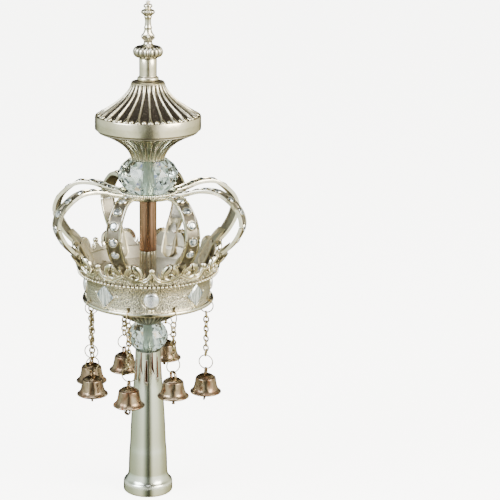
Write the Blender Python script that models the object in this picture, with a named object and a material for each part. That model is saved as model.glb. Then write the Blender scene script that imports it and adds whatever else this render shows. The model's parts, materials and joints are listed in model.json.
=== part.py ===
"""Torah finial: a crowned silver top for a scroll's staff, with crystal beads, a pagoda roof and bells.

Metres, +Z up. The foot stands on z = 0 and the axis is x = y = 0. An azimuth of 0 is the front, at -Y,
and a positive azimuth turns towards +X. Heights stack up from the foot, so that each piece rests on
the one below it.
"""
import math

import bmesh
import bpy
from mathutils import Vector

MM = 0.001
GAP = 0.3 * MM
WELD = 0.002 * MM
FLAT_ANGLE = math.radians(1.5)
FULL_TURN = 2 * math.pi

# Stem and foot
FOOT_RADIUS = 20.2 * MM
FOOT_BAND = 7.0 * MM
FOOT_SHOULDER = 8.2 * MM
FOOT_EDGE = 1.8 * MM
STEM_BASE_RADIUS = 15.9 * MM
STEM_TOP_RADIUS = 10.2 * MM
STEM_SWELL = 0.75 * MM
STEM_HEIGHT = 120.5 * MM
STEM_WALL = 1.2 * MM
STEM_SIDES = 24

# Slots in the stem
SLOT_COUNT = 14
SLOT_TURN = math.radians(-9.4)
SLOT_WIDTH = 2.1 * MM
SLOT_LENGTH = 18.0 * MM
SLOT_BELOW_TOP = 13.6 * MM
SLOT_RISE = (-2.0 * MM, 4.2 * MM, 0.9 * MM, -1.8 * MM)

# Crystal beads
CRYSTAL_FACETS = 16
LOWER_CRYSTAL_RADIUS = 16.2 * MM
LOWER_CRYSTAL_HEIGHT = 22.8 * MM
UPPER_CRYSTAL_RADIUS = 24.3 * MM
UPPER_CRYSTAL_HEIGHT = 26.0 * MM

# Crown dish
DISH_BOSS_RADIUS = 9.6 * MM
DISH_CURVE = ((0.0, 0.0), (0.11, 0.24), (0.25, 0.5), (0.45, 0.68), (0.6, 0.79), (1.0, 1.0))
DISH_DEPTH = 40.0 * MM
DISH_WALL = 1.3 * MM
DISH_FLUTES = 24
DISH_FLUTE_DEPTH = 0.7 * MM
BAND_ABOVE_DISH = 20.6 * MM

# Crown band
BAND_RIM_RADIUS = 52.5 * MM
BAND_WAIST_RADIUS = 49.2 * MM
BAND_PEARL_RADIUS = 55.2 * MM
BAND_WALL = 1.3 * MM
BAND_HEIGHT = 30.5 * MM
PEARL_BELOW_TOP = 6.4 * MM
PEARL_RISE = 1.4 * MM
RIM_ROLL_HEIGHT = 4.0 * MM
HOLE_RADIUS = 1.6 * MM
HOLE_ABOVE_RIM = 2.2 * MM
HOLE_FROM_STONE = math.radians(21.0)
HOLE_SIDES = 6

# Cresting
BAYS = 8
BAY_STEPS = 4
CREST_TUCK = 2.6 * MM
CREST_LEAN = 0.28
CREST_HEIGHT = 17.4 * MM
CREST_WALL = 1.5 * MM

# Arches
ARCH_RADIUS = 77.4 * MM
ARCH_WIDTH = 12.0 * MM
ARCH_END_WIDTH = 9.0 * MM
ARCH_THICKNESS = 2.0 * MM
ARCH_RAIL = 1.0 * MM
ARCH_SEAM_SHARE = 0.325
LEAF_REACH = 6.5 * MM
LEAF_LENGTH = 12.0 * MM

# Hub, rod and column
HUB_ABOVE_BAND = 52.2 * MM
HUB_RADIUS = 23.6 * MM
HUB_HEIGHT = 3.8 * MM
HUB_COLLAR = 2.2 * MM
HUB_SIDES = 24
HUB_BOSS_RADIUS = 8.4 * MM
HUB_BOSS_HEIGHT = 1.6 * MM
ROD_RADIUS = 6.85 * MM
ROD_HEIGHT = 41.8 * MM
ROD_SIDES = 20
COLUMN_FLUTES = 14
COLUMN_FLUTE_DEPTH = 0.6 * MM

# Stones on the band
BEZEL_RADIUS = 6.9 * MM
BEZEL_RISE = 0.8 * MM
BEZEL_SIDES = 10
CABOCHON_RADIUS = 5.8 * MM
CABOCHON_RISE = 1.9 * MM
DIAMOND_REACH = 8.8 * MM
DIAMOND_STONE_REACH = 7.6 * MM
DIAMOND_RISE = 1.4 * MM
DIAMOND_BEZEL_RISE = 1.4 * MM
STONE_ABOVE_BAND = 12.0 * MM

# Roof
ROOF_FLUTES = 24
FLUTE_DEPTH_SHARE = 0.07
TRUMPET_FOOT_RADIUS = 13.8 * MM
TRUMPET_HEIGHT = 23.4 * MM
TRUMPET_RADIUS = 39.3 * MM
ROOF_RADIUS = 41.5 * MM
ROOF_BAND_HEIGHT = 11.0 * MM
ROOF_HEIGHT = 26.6 * MM
ROOF_TOP_RADIUS = 13.8 * MM

# Neck, knop and spire
NECK_RADIUS = 6.9 * MM
NECK_RING_RADIUS = 8.5 * MM
NECK_RING_HEIGHT = 3.4 * MM
NECK_HEIGHT = 17.3 * MM
NECK_SIDES = 16
KNOP_RADIUS = 11.8 * MM
KNOP_HEIGHT = 11.4 * MM
KNOP_FLUTES = 12
KNOP_FLUTE_DEPTH = 1.0 * MM
SPIRE_HEIGHT = 32.6 * MM
SPIRE_SIDES = 8
SPIRE_BULGE_RADIUS = 5.5 * MM
SPIRE_WAIST_RADIUS = 2.4 * MM
SPIRE_KNOP_RADIUS = 5.6 * MM
SPIRE_BALL_RADIUS = 3.4 * MM
SPIRE_TIP_RADIUS = 1.8 * MM

# Bells and chains
BELL_RADIUS = 12.35 * MM
BELL_HEIGHT = 15.6 * MM
BELL_WALL = 0.8 * MM
BELL_SIDES = 8
BELL_LOOP_HEIGHT = 5.0 * MM
BELL_LOOP_WIDTH = 4.6 * MM
CLAPPER_WIDTH = 2.4 * MM
CLAPPER_THICKNESS = 0.8 * MM
CLAPPER_SHOW = 3.0 * MM
RING_CLEARANCE = 1.65 * MM
RING_RADIUS = RING_CLEARANCE + max(BAND_RIM_RADIUS - BAND_WAIST_RADIUS + BAND_WALL / 2,
                                   (RIM_ROLL_HEIGHT + HOLE_ABOVE_RIM) / 2)
RING_SIDES = 8
WIRE_RADIUS = 0.5 * MM
WIRE_SIDES = 3
LINK_WIDTH = 4.2 * MM
LINK_SIDES = 4
LINK_TOUCH = 0.15 * MM
LINK_COUNT = 4

# One entry for each bell: its hole's azimuth, how far its chain falls short of the longest one,
# and its number of links. An even number turns the lower ring across the finial's radius.
BELLS = (
    ("front_left", -HOLE_FROM_STONE, 0.0, LINK_COUNT),
    ("front_right", HOLE_FROM_STONE, 7.0 * MM, LINK_COUNT),
    ("left_front", HOLE_FROM_STONE - math.pi / 2, 0.0, LINK_COUNT - 1),
    ("left_back", -HOLE_FROM_STONE - math.pi / 2, -0.8 * MM, LINK_COUNT - 1),
    ("right_front", math.pi / 2 - HOLE_FROM_STONE, 0.4 * MM, LINK_COUNT - 1),
    ("back_left", HOLE_FROM_STONE - math.pi, -1.5 * MM, LINK_COUNT),
    ("back_right", math.pi - HOLE_FROM_STONE, 8.5 * MM, LINK_COUNT),
)
CHAIN_DROP = 38.5 * MM

# Heights, stacked from the foot
LOWER_CRYSTAL_Z = STEM_HEIGHT + GAP
DISH_Z = LOWER_CRYSTAL_Z + LOWER_CRYSTAL_HEIGHT + GAP
BAND_Z = DISH_Z + BAND_ABOVE_DISH
CREST_Z = BAND_Z + BAND_HEIGHT - CREST_TUCK
HUB_Z = BAND_Z + BAND_HEIGHT + HUB_ABOVE_BAND
ROD_Z = HUB_Z - HUB_BOSS_HEIGHT - GAP - ROD_HEIGHT
UPPER_CRYSTAL_Z = HUB_Z + HUB_HEIGHT + GAP
TRUMPET_Z = UPPER_CRYSTAL_Z + UPPER_CRYSTAL_HEIGHT + GAP
ROOF_Z = TRUMPET_Z + TRUMPET_HEIGHT + GAP
NECK_Z = ROOF_Z + ROOF_BAND_HEIGHT + ROOF_HEIGHT + GAP
KNOP_Z = NECK_Z + NECK_HEIGHT + GAP
HOLE_Z = BAND_Z + RIM_ROLL_HEIGHT + HOLE_ABOVE_RIM
STONE_Z = BAND_Z + STONE_ABOVE_BAND


def out(azimuth):
    """The level direction that points away from the axis at an azimuth."""
    return Vector((math.sin(azimuth), -math.cos(azimuth), 0.0))


def along(azimuth):
    """The level direction that runs round the axis at an azimuth."""
    return Vector((math.cos(azimuth), math.sin(azimuth), 0.0))


UP = Vector((0.0, 0.0, 1.0))


def finish(name, colour, metallic, roughness):
    """A Principled BSDF material."""
    material = bpy.data.materials.new(name)
    material.use_nodes = True
    shader = material.node_tree.nodes["Principled BSDF"]
    shader.inputs["Base Color"].default_value = (*colour, 1.0)
    shader.inputs["Metallic"].default_value = metallic
    shader.inputs["Roughness"].default_value = roughness
    return material


def object_from(name, solid):
    """Links a bmesh into the scene as an object and frees it."""
    mesh = bpy.data.meshes.new(name)
    solid.to_mesh(mesh)
    solid.free()
    piece = bpy.data.objects.new(name, mesh)
    bpy.context.scene.collection.objects.link(piece)
    return piece


def make_node(name, solid, material, crease=math.radians(35)):
    """One finished piece of the finial, smooth apart from edges sharper than the crease."""
    bmesh.ops.remove_doubles(solid, verts=solid.verts, dist=WELD)
    bmesh.ops.dissolve_degenerate(solid, dist=WELD, edges=solid.edges)
    bmesh.ops.dissolve_limit(solid, angle_limit=FLAT_ANGLE, verts=solid.verts, edges=solid.edges)
    bmesh.ops.triangulate(solid, faces=solid.faces)
    bmesh.ops.recalc_face_normals(solid, faces=solid.faces)
    piece = object_from(name, solid)
    piece.data.materials.append(material)
    piece.data.shade_smooth()
    piece.data.set_sharp_from_angle(angle=crease)
    return piece


def combined(base, tools, operation):
    """Joins or cuts a solid with others by an exact Boolean and gives the result as a bmesh."""
    body = object_from("body", base)
    group = bpy.data.collections.new("tools")
    helpers = [object_from("tool", tool) for tool in tools]
    for helper in helpers:
        group.objects.link(helper)
    modifier = body.modifiers.new("combine", "BOOLEAN")
    modifier.operation = operation
    modifier.operand_type = "COLLECTION"
    modifier.solver = "EXACT"
    modifier.collection = group
    bpy.context.view_layer.update()
    depsgraph = bpy.context.evaluated_depsgraph_get()
    result = bpy.data.meshes.new_from_object(body.evaluated_get(depsgraph))
    solid = bmesh.new()
    solid.from_mesh(result)
    for helper in [body, *helpers]:
        bpy.data.objects.remove(helper)
    bpy.data.collections.remove(group)
    bpy.data.meshes.remove(result)
    return solid


def groove_normal(outline, depths, index):
    """The outline's outward normal at a grooved point, from its grooved neighbours only."""
    last = len(outline) - 1
    before = outline[index - 1 if index > 0 and depths[index - 1] else index]
    after = outline[index + 1 if index < last and depths[index + 1] else index]
    return Vector((after[1] - before[1], before[0] - after[0])).normalized()


def turned(outline, sides, flutes=0, depths=None, closed=False):
    """Turns an outline of (radius, height) points round the axis into a solid.

    With flutes, the grooves between the ribs cut point i back by depths[i], square to the outline, but
    never above the outline's top.
    """
    solid = bmesh.new()
    top = max(height for _, height in outline)
    depths = depths or [0.0] * len(outline)
    rings = []
    for index, (radius, height) in enumerate(outline):
        normal = groove_normal(outline, depths, index)
        ring = []
        for step in range(sides if radius > WELD else 1):
            angle = step * FULL_TURN / sides
            groove = depths[index] * (0.5 - 0.5 * math.cos(flutes * angle))
            level = min(top, height - groove * normal.y)
            ring.append(solid.verts.new(out(angle) * (radius - groove * normal.x) + UP * level))
        rings.append(ring)
    pairs = list(zip(rings, rings[1:]))
    if closed:
        pairs.append((rings[-1], rings[0]))
    for first, second in pairs:
        if len(first) == len(second) == 1:
            continue
        for step in range(sides):
            after = (step + 1) % sides
            corners = [first[step % len(first)], first[after % len(first)],
                       second[after % len(second)], second[step % len(second)]]
            solid.faces.new(list(dict.fromkeys(corners)))
    bmesh.ops.recalc_face_normals(solid, faces=solid.faces)
    return solid


def swept(stations, section, closed=False):
    """Carries a closed section along stations of (place, side, rise, size) and caps its ends."""
    solid = bmesh.new()
    loops = []
    for place, side, rise, size in stations:
        loops.append([solid.verts.new(place + side * (s * size) + rise * r) for s, r in section])
    pairs = list(zip(loops, loops[1:]))
    if closed:
        pairs.append((loops[-1], loops[0]))
    count = len(section)
    for first, second in pairs:
        for index in range(count):
            after = (index + 1) % count
            solid.faces.new((first[index], first[after], second[after], second[index]))
    if not closed:
        solid.faces.new(loops[0])
        solid.faces.new(loops[-1])
    bmesh.ops.recalc_face_normals(solid, faces=solid.faces)
    return solid


def wire_loop(centre, wide, tall, half_width, half_height, sides):
    """A closed wire loop in the plane of the wide and tall directions, with flats at its top and bottom."""
    through = wide.cross(tall)
    corners = [index * FULL_TURN / WIRE_SIDES for index in range(WIRE_SIDES)]
    section = [(WIRE_RADIUS * math.cos(corner), WIRE_RADIUS * math.sin(corner)) for corner in corners]
    stations = []
    corner_scale = 1 / math.cos(math.pi / sides)
    for index in range(sides):
        turn = (index + 0.5) * FULL_TURN / sides
        reach = (wide * math.sin(turn) + tall * math.cos(turn)) * corner_scale
        place = centre + wide * (half_width * reach.dot(wide)) + tall * (half_height * reach.dot(tall))
        stations.append((place, reach, through, 1.0))
    return swept(stations, section, closed=True)


def smooth_path(points, steps):
    """Points on a Catmull-Rom curve through 2-D points, with a number of steps in each span."""
    ends = [points[0], *points, points[-1]]
    path = []
    for index in range(len(points) - 1):
        a, b, c, d = (Vector(point) for point in ends[index:index + 4])
        for step in range(steps):
            t = step / steps
            path.append(0.5 * (2 * b + (c - a) * t + (2 * a - 5 * b + 4 * c - d) * t * t
                               + (3 * b - a - 3 * c + d) * t ** 3))
    path.append(Vector(points[-1]))
    return path


def stem_radius(height):
    """The stem's outer radius above its foot: a straight taper with a slight swell."""
    start = FOOT_BAND + FOOT_SHOULDER
    share = (height - start) / (STEM_HEIGHT - start)
    taper = STEM_BASE_RADIUS + (STEM_TOP_RADIUS - STEM_BASE_RADIUS) * share
    return taper + STEM_SWELL * math.sin(math.pi * share)


def make_stem(material):
    """The tapered tube with its flared foot and upright slots."""
    shoulder = FOOT_BAND + FOOT_SHOULDER
    outline = [(FOOT_RADIUS - FOOT_EDGE, 0.0), (FOOT_RADIUS, FOOT_EDGE)]
    for share in (0.0, 0.3, 0.65, 1.0):
        flare = (FOOT_RADIUS - STEM_BASE_RADIUS) * (0.5 + 0.5 * math.cos(math.pi * share))
        outline.append((STEM_BASE_RADIUS + flare, FOOT_BAND + FOOT_SHOULDER * share))
    heights = [shoulder + (STEM_HEIGHT - shoulder) * share for share in (0.33, 0.67, 1.0)]
    outline += [(stem_radius(height), height) for height in heights]
    bore = [(stem_radius(height) - STEM_WALL, height) for height in reversed(heights)]
    outline += bore + [(STEM_BASE_RADIUS - STEM_WALL, shoulder), (STEM_BASE_RADIUS - STEM_WALL, 0.0)]
    tube = turned(outline, STEM_SIDES, closed=True)
    cutters = []
    for index in range(SLOT_COUNT):
        azimuth = SLOT_TURN + index * FULL_TURN / SLOT_COUNT
        middle = STEM_HEIGHT - SLOT_BELOW_TOP + SLOT_RISE[index % len(SLOT_RISE)]
        half, round_end = SLOT_LENGTH / 2, SLOT_WIDTH / 2
        section = [(-round_end, round_end - half), (0.0, -half), (round_end, round_end - half),
                   (round_end, half - round_end), (0.0, half), (-round_end, half - round_end)]
        centre = UP * middle
        inside = stem_radius(middle + half) - 2.5 * STEM_WALL
        outside = stem_radius(middle - half) + STEM_WALL
        stations = [(centre + out(azimuth) * reach, along(azimuth), UP, 1.0) for reach in (inside, outside)]
        cutters.append(swept(stations, section))
    return make_node("stem", combined(tube, cutters, "DIFFERENCE"), material)


def make_crystal(name, base, radius, height, end_share, material):
    """A glass bead cut with upright facets, fullest a little above its middle."""
    outline = [(0.0, base)]
    rows = 6
    for row in range(rows + 1):
        share = row / rows
        bulge = math.sin(math.pi * share ** 0.92) ** 0.6
        width = radius * (end_share + (1 - end_share) * bulge)
        outline.append((width, base + height * share))
    outline.append((0.0, base + height))
    return make_node(name, turned(outline, CRYSTAL_FACETS), material, crease=math.radians(12))


def dish_radius(share):
    """The dish's outer radius at a share of its depth, read off the curve of depth and spread."""
    flat_side = math.cos(math.pi / (BAYS * BAY_STEPS))
    edge = (face_radius(DISH_Z + DISH_DEPTH) - BAND_WALL) * flat_side - GAP
    for (low, narrow), (high, wide) in zip(DISH_CURVE, DISH_CURVE[1:]):
        if share <= high:
            spread = narrow + (wide - narrow) * (share - low) / (high - low)
            return DISH_BOSS_RADIUS + (edge - DISH_BOSS_RADIUS) * spread


def make_dish(material):
    """The crown's floor: a thin dish with fine flutes below and a smooth hollow above."""
    outline = [(0.0, DISH_Z)]
    outline += [(dish_radius(share), DISH_Z + DISH_DEPTH * share) for share in (0.0, 0.11, 0.25, 0.6, 1.0)]
    outline += [(dish_radius(share) - DISH_WALL, DISH_Z + DISH_DEPTH * share + DISH_WALL * (1 - share))
                for share in (1.0, 0.45, 0.1)]
    floor = DISH_Z + 2 * DISH_WALL
    outline += [(DISH_BOSS_RADIUS, floor), (0.0, floor)]
    depths = [0.0, 0.0] + 3 * [DISH_FLUTE_DEPTH] + 6 * [0.0]
    return make_node("crown_dish", turned(outline, 2 * DISH_FLUTES, DISH_FLUTES, depths), material)


def face_radius(height):
    """The band's outer radius at a height: nearly straight, then flaring out under the pearls."""
    low = BAND_Z + RIM_ROLL_HEIGHT
    high = BAND_Z + BAND_HEIGHT - PEARL_BELOW_TOP
    share = max(0.0, (height - low) / (high - low))
    return BAND_WAIST_RADIUS + (BAND_PEARL_RADIUS - PEARL_RISE - BAND_WAIST_RADIUS) * share ** 5


def band_outline():
    """The band's closed section: rim roll, hollow pebbled face, pearl moulding and the inner wall."""
    roll = RIM_ROLL_HEIGHT
    pearl_low = BAND_HEIGHT - PEARL_BELOW_TOP
    face = []
    for share in (0.0, 0.66, 0.86, 1.0):
        height = roll + (pearl_low - roll) * share
        face.append((face_radius(BAND_Z + height), height))
    tuck = crest_radius(BAND_Z + BAND_HEIGHT - CREST_TUCK / 2) - CREST_TUCK / 8
    outer = [(BAND_RIM_RADIUS - 0.25 * roll, 0.0), (BAND_RIM_RADIUS, 0.35 * roll),
             (BAND_RIM_RADIUS - 0.25 * roll, 0.8 * roll)]
    outer += face
    outer += [(BAND_PEARL_RADIUS, pearl_low + 0.2 * PEARL_BELOW_TOP),
              (BAND_PEARL_RADIUS, pearl_low + 0.42 * PEARL_BELOW_TOP),
              (tuck, BAND_HEIGHT - CREST_TUCK / 2)]
    inner = [(tuck - BAND_WALL, BAND_HEIGHT - CREST_TUCK / 2)]
    inner += [(radius - BAND_WALL, height) for radius, height in reversed(face[1:])]
    inner.append((BAND_WAIST_RADIUS - BAND_WALL, 0.0))
    return [(radius, BAND_Z + height) for radius, height in outer + inner]


def bell_azimuths():
    """The azimuths of the eight holes: a pair beside each of the four round stones."""
    quarters = [index * math.pi / 2 for index in range(4)]
    return [quarter + side * HOLE_FROM_STONE for quarter in quarters for side in (-1, 1)]


def crest_radius(height):
    """The outer face of the cresting, which leans outwards as it rises."""
    return BAND_PEARL_RADIUS - 0.6 * MM + CREST_LEAN * (height - CREST_Z)


def crest_half_bay():
    """The top edge of half a bay as (share of the half bay, share of the cresting's height).

    It starts at an arch, goes over a wave that hooks towards the middle, under the hook, along the
    floor of the gap and up to the ball in the middle of the bay.
    """
    wave_centre, wave_radius = (0.46, 0.74), (0.22, 0.26)
    over = []
    for share in (0.1, 0.4, 0.72):
        turn = math.pi * share
        over.append((wave_centre[0] - wave_radius[0] * math.cos(turn),
                     wave_centre[1] + wave_radius[1] * math.sin(turn)))
    hook = [(0.76, 0.42), (0.58, 0.64)]
    floor = [(0.42, 0.52), (0.50, 0.19), (0.80, 0.19)]
    ball = [(0.87, 0.66)]
    return [(0.0, 0.70)] + over + hook + floor + ball + [(1.0, 0.80)]


def make_cresting():
    """The ring of cresting plates: each bay's outline is filled, thickened and bent round the axis."""
    solid = bmesh.new()
    half = crest_half_bay()
    bay = FULL_TURN / BAYS
    top = [(share / 2, height) for share, height in half]
    top += [(1 - share / 2, height) for share, height in reversed(half[:-1])]
    foot = [(index / BAY_STEPS, 0.0) for index in range(BAY_STEPS, -1, -1)]
    ring = top + foot
    start = -bay / 2

    def bent(share, height, inset, azimuth):
        z = CREST_Z + CREST_HEIGHT * height
        return out(azimuth + share * bay) * (crest_radius(z) - inset) + UP * z

    flat = bmesh.new()
    face = flat.faces.new([flat.verts.new((share, 0.0, height)) for share, height in ring])
    face.normal_update()
    bmesh.ops.triangulate(flat, faces=[face])
    flat.verts.index_update()
    fill = [[vert.index for vert in triangle.verts] for triangle in flat.faces]
    flat.free()
    last = len(top) - 1
    for index in range(BAYS):
        azimuth = start + index * bay
        front = [solid.verts.new(bent(share, height, 0.0, azimuth)) for share, height in ring]
        back = [solid.verts.new(bent(share, height, CREST_WALL, azimuth)) for share, height in ring]
        for a, b, c in fill:
            solid.faces.new((front[a], front[b], front[c]))
            solid.faces.new((back[a], back[c], back[b]))
        for first in range(len(ring)):
            second = (first + 1) % len(ring)
            if first != last and second != 0:
                solid.faces.new((front[first], back[first], back[second], front[second]))
    bmesh.ops.remove_doubles(solid, verts=solid.verts, dist=WELD)
    bmesh.ops.recalc_face_normals(solid, faces=solid.faces)
    return solid


def arch_line():
    """The arch's middle line as (radius, height) points, from the cresting up, over and in to the hub."""
    foot_radius = crest_radius(CREST_Z + 0.54 * CREST_HEIGHT)
    foot_z = CREST_Z + 0.6 * CREST_HEIGHT
    swell = ARCH_RADIUS - foot_radius
    rise = HUB_Z + 0.5 * HUB_HEIGHT - foot_z
    crown = ARCH_RADIUS - HUB_RADIUS
    points = [(foot_radius, foot_z), (foot_radius + 0.56 * swell, foot_z + 0.22 * rise),
              (foot_radius + 0.92 * swell, foot_z + 0.46 * rise), (ARCH_RADIUS, foot_z + 0.66 * rise),
              (ARCH_RADIUS - 0.09 * crown, foot_z + 0.88 * rise),
              (ARCH_RADIUS - 0.33 * crown, foot_z + 1.09 * rise),
              (ARCH_RADIUS - 0.6 * crown, foot_z + 1.12 * rise),
              (ARCH_RADIUS - 0.85 * crown, foot_z + 1.04 * rise),
              (HUB_RADIUS - HUB_COLLAR, foot_z + rise)]
    return smooth_path(points, 6)


def line_point(line, share):
    """The point at a share of a line's length."""
    lengths = [(after - before).length for before, after in zip(line, line[1:])]
    left = share * sum(lengths)
    for index, length in enumerate(lengths):
        if left <= length or index == len(lengths) - 1:
            return line[index].lerp(line[index + 1], min(1.0, left / length))
        left -= length


def arch_strip(azimuth, start, end, spans):
    """Part of an arch between two shares of its length: a flat strip with a raised rail on each side."""
    line = arch_line()
    step = 0.01
    stations = []
    for index in range(spans + 1):
        share = start + (end - start) * index / spans
        before = line_point(line, max(0.0, share - step))
        after = line_point(line, min(1.0, share + step))
        run = (after - before).normalized()
        point = line_point(line, share)
        lift = out(azimuth) * run.y - UP * run.x
        past_seam = max(0.0, share - ARCH_SEAM_SHARE) / (1 - ARCH_SEAM_SHARE)
        width = ARCH_WIDTH + (ARCH_END_WIDTH - ARCH_WIDTH) * past_seam
        stations.append((out(azimuth) * point.x + UP * point.y, along(azimuth), lift, width))
    half = ARCH_THICKNESS / 2
    section = [(-0.5, -half), (0.5, -half), (0.5, half + ARCH_RAIL), (0.36, half), (-0.36, half),
               (-0.5, half + ARCH_RAIL)]
    return swept(stations, section)


def arch_azimuths():
    """The azimuths of the arches, which stand between the bays of the cresting."""
    return [(index + 0.5) * FULL_TURN / BAYS for index in range(BAYS)]


def foot_leaf(azimuth):
    """The pointed leaf that covers an arch's foot: a four-sided pyramid on the cresting."""
    solid = bmesh.new()
    centre_z = CREST_Z + 0.66 * CREST_HEIGHT
    face = crest_radius(centre_z)
    half = LEAF_LENGTH / 2
    rim = [(0.0, -half), (half, 0.0), (0.0, half), (-half, 0.0)]
    away, beside = out(azimuth), along(azimuth)
    base = []
    for s, z in rim:
        base.append(solid.verts.new(away * (face + 0.5 * max(0.0, z)) + beside * s + UP * (centre_z + z)))
    tip = solid.verts.new(away * (face + LEAF_REACH) + UP * (centre_z - 0.1 * half))
    root = solid.verts.new(away * (face - CREST_WALL / 2) + UP * centre_z)
    for first, second in zip(base, base[1:] + base[:1]):
        solid.faces.new((first, second, tip))
        solid.faces.new((second, first, root))
    bmesh.ops.recalc_face_normals(solid, faces=solid.faces)
    return solid


def stud(azimuth, height, rows, sides):
    """A stud that points away from the axis: rows of (distance from the axis, size), a corner on top."""
    centre = UP * height
    section = [(math.sin(index * FULL_TURN / sides), math.cos(index * FULL_TURN / sides))
               for index in range(sides)]
    solid = bmesh.new()
    loops = []
    for radius, size in rows:
        middle = centre + out(azimuth) * radius
        loops.append([solid.verts.new(middle + (along(azimuth) * s + UP * t) * size) for s, t in section])
    for near, far in zip(loops, loops[1:]):
        for index in range(sides):
            after = (index + 1) % sides
            solid.faces.new((near[index], near[after], far[after], far[index]))
    solid.faces.new(loops[0])
    solid.faces.new(loops[-1])
    bmesh.ops.recalc_face_normals(solid, faces=solid.faces)
    return solid


def make_crown_base(material):
    """The lower casting: band, cresting, bezels, arch feet with their leaves, and the eight holes."""
    band = turned(band_outline(), BAYS * BAY_STEPS, closed=True)
    parts = [make_cresting()]
    for azimuth in arch_azimuths():
        parts.append(arch_strip(azimuth, 0.0, ARCH_SEAM_SHARE, 3))
        parts.append(foot_leaf(azimuth))
    face = face_radius(STONE_Z)
    round_bezel = ((face - BAND_WALL / 2, BEZEL_RADIUS), (face + BEZEL_RISE, BEZEL_RADIUS))
    square_bezel = ((face - BAND_WALL / 2, DIAMOND_REACH), (face + DIAMOND_BEZEL_RISE, DIAMOND_REACH))
    for index in range(4):
        quarter = index * FULL_TURN / 4
        parts.append(stud(quarter, STONE_Z, round_bezel, BEZEL_SIDES))
        parts.append(stud(quarter + FULL_TURN / 8, STONE_Z, square_bezel, 4))
    casting = combined(band, parts, "UNION")
    outside = max(BAND_RIM_RADIUS, face_radius(HOLE_Z)) + BAND_WALL
    rows = ((BAND_WAIST_RADIUS - 3 * BAND_WALL, HOLE_RADIUS), (outside, HOLE_RADIUS))
    cutters = [stud(azimuth, HOLE_Z, rows, HOLE_SIDES) for azimuth in bell_azimuths()]
    return make_node("crown_base", combined(casting, cutters, "DIFFERENCE"), material)


def make_crown_top(material):
    """The upper casting: the hub with its beaded collar and the upper halves of the arches."""
    collar_inside = HUB_RADIUS - HUB_COLLAR
    top = HUB_Z + HUB_HEIGHT
    outline = [(0.0, HUB_Z - HUB_BOSS_HEIGHT), (HUB_BOSS_RADIUS, HUB_Z - HUB_BOSS_HEIGHT),
               (HUB_BOSS_RADIUS, HUB_Z), (collar_inside, HUB_Z), (HUB_RADIUS, HUB_Z + 0.3 * HUB_HEIGHT),
               (HUB_RADIUS, top), (HUB_RADIUS - 0.5 * HUB_COLLAR, top + 0.6 * HUB_COLLAR),
               (collar_inside, top), (0.0, top)]
    hub = turned(outline, HUB_SIDES)
    seam = GAP / sum((after - before).length for before, after in zip(arch_line(), arch_line()[1:]))
    arms = [arch_strip(azimuth, ARCH_SEAM_SHARE + seam, 1.0, 6) for azimuth in arch_azimuths()]
    return make_node("crown_top", combined(hub, arms, "UNION"), material)


def make_column(material):
    """The fluted tube between the dish and the rod."""
    low = DISH_Z + 2 * DISH_WALL + GAP
    high = ROD_Z - GAP
    outline = [(0.0, low), (ROD_RADIUS, low), (ROD_RADIUS, high), (0.0, high)]
    depths = [0.0, COLUMN_FLUTE_DEPTH, COLUMN_FLUTE_DEPTH, 0.0]
    return make_node("column", turned(outline, 2 * COLUMN_FLUTES, COLUMN_FLUTES, depths), material)


def make_rod(material):
    """The smooth tube between the column and the hub."""
    high = ROD_Z + ROD_HEIGHT
    outline = [(0.0, ROD_Z), (ROD_RADIUS, ROD_Z), (ROD_RADIUS, high), (0.0, high)]
    return make_node("rod", turned(outline, ROD_SIDES), material)


def make_cabochon(name, azimuth, material):
    """A low round stone on its bezel."""
    base = face_radius(STONE_Z) + BEZEL_RISE + GAP
    rows = [(base + CABOCHON_RISE * math.sin(turn), CABOCHON_RADIUS * math.cos(turn))
            for turn in (0.0, 0.35 * math.pi / 2, 0.7 * math.pi / 2)]
    return make_node(name, stud(azimuth, STONE_Z, rows, BEZEL_SIDES), material)


def make_diamond(name, azimuth, material):
    """A square stone set on its point, with sloping sides and a flat table."""
    base = face_radius(STONE_Z) + DIAMOND_BEZEL_RISE + GAP
    rows = ((base, DIAMOND_STONE_REACH), (base + DIAMOND_RISE, 0.72 * DIAMOND_STONE_REACH))
    return make_node(name, stud(azimuth, STONE_Z, rows, 4), material)


def make_trumpet(material):
    """The fluted flare that opens upwards under the roof."""
    outline = [(0.0, TRUMPET_Z)]
    for share in (0.0, 0.25, 0.5, 0.75, 1.0):
        flare = (TRUMPET_RADIUS - TRUMPET_FOOT_RADIUS) * (0.22 * share + 0.78 * share ** 2.4)
        outline.append((TRUMPET_FOOT_RADIUS + flare, TRUMPET_Z + TRUMPET_HEIGHT * share))
    outline.append((0.0, TRUMPET_Z + TRUMPET_HEIGHT))
    depths = [0.0, 0.0] + [FLUTE_DEPTH_SHARE * radius for radius, _ in outline[2:-1]] + [0.0]
    return make_node("roof_trumpet", turned(outline, 2 * ROOF_FLUTES, ROOF_FLUTES, depths), material)


def roof_radius(share):
    """The roof's radius from its eave, share 0, to its top, share 1: a hollow sweep."""
    return ROOF_TOP_RADIUS + (ROOF_RADIUS - 0.6 * MM - ROOF_TOP_RADIUS) * (1 - share) ** 2.35


def make_roof(material):
    """The smooth band and the fluted, hollow roof above it."""
    edge = ROOF_Z + ROOF_BAND_HEIGHT
    outline = [(0.0, ROOF_Z), (ROOF_RADIUS, ROOF_Z), (ROOF_RADIUS, edge)]
    for share in (0.06, 0.17, 0.34, 0.6, 1.0):
        outline.append((roof_radius(share), edge + ROOF_HEIGHT * share))
    outline.append((0.0, edge + ROOF_HEIGHT))
    depths = [FLUTE_DEPTH_SHARE * radius for radius, _ in outline[4:-2]]
    depths = [0.0, 0.0, 0.0, 0.5 * depths[0]] + depths + [0.0, 0.0]
    return make_node("roof", turned(outline, 2 * ROOF_FLUTES, ROOF_FLUTES, depths), material)


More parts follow.
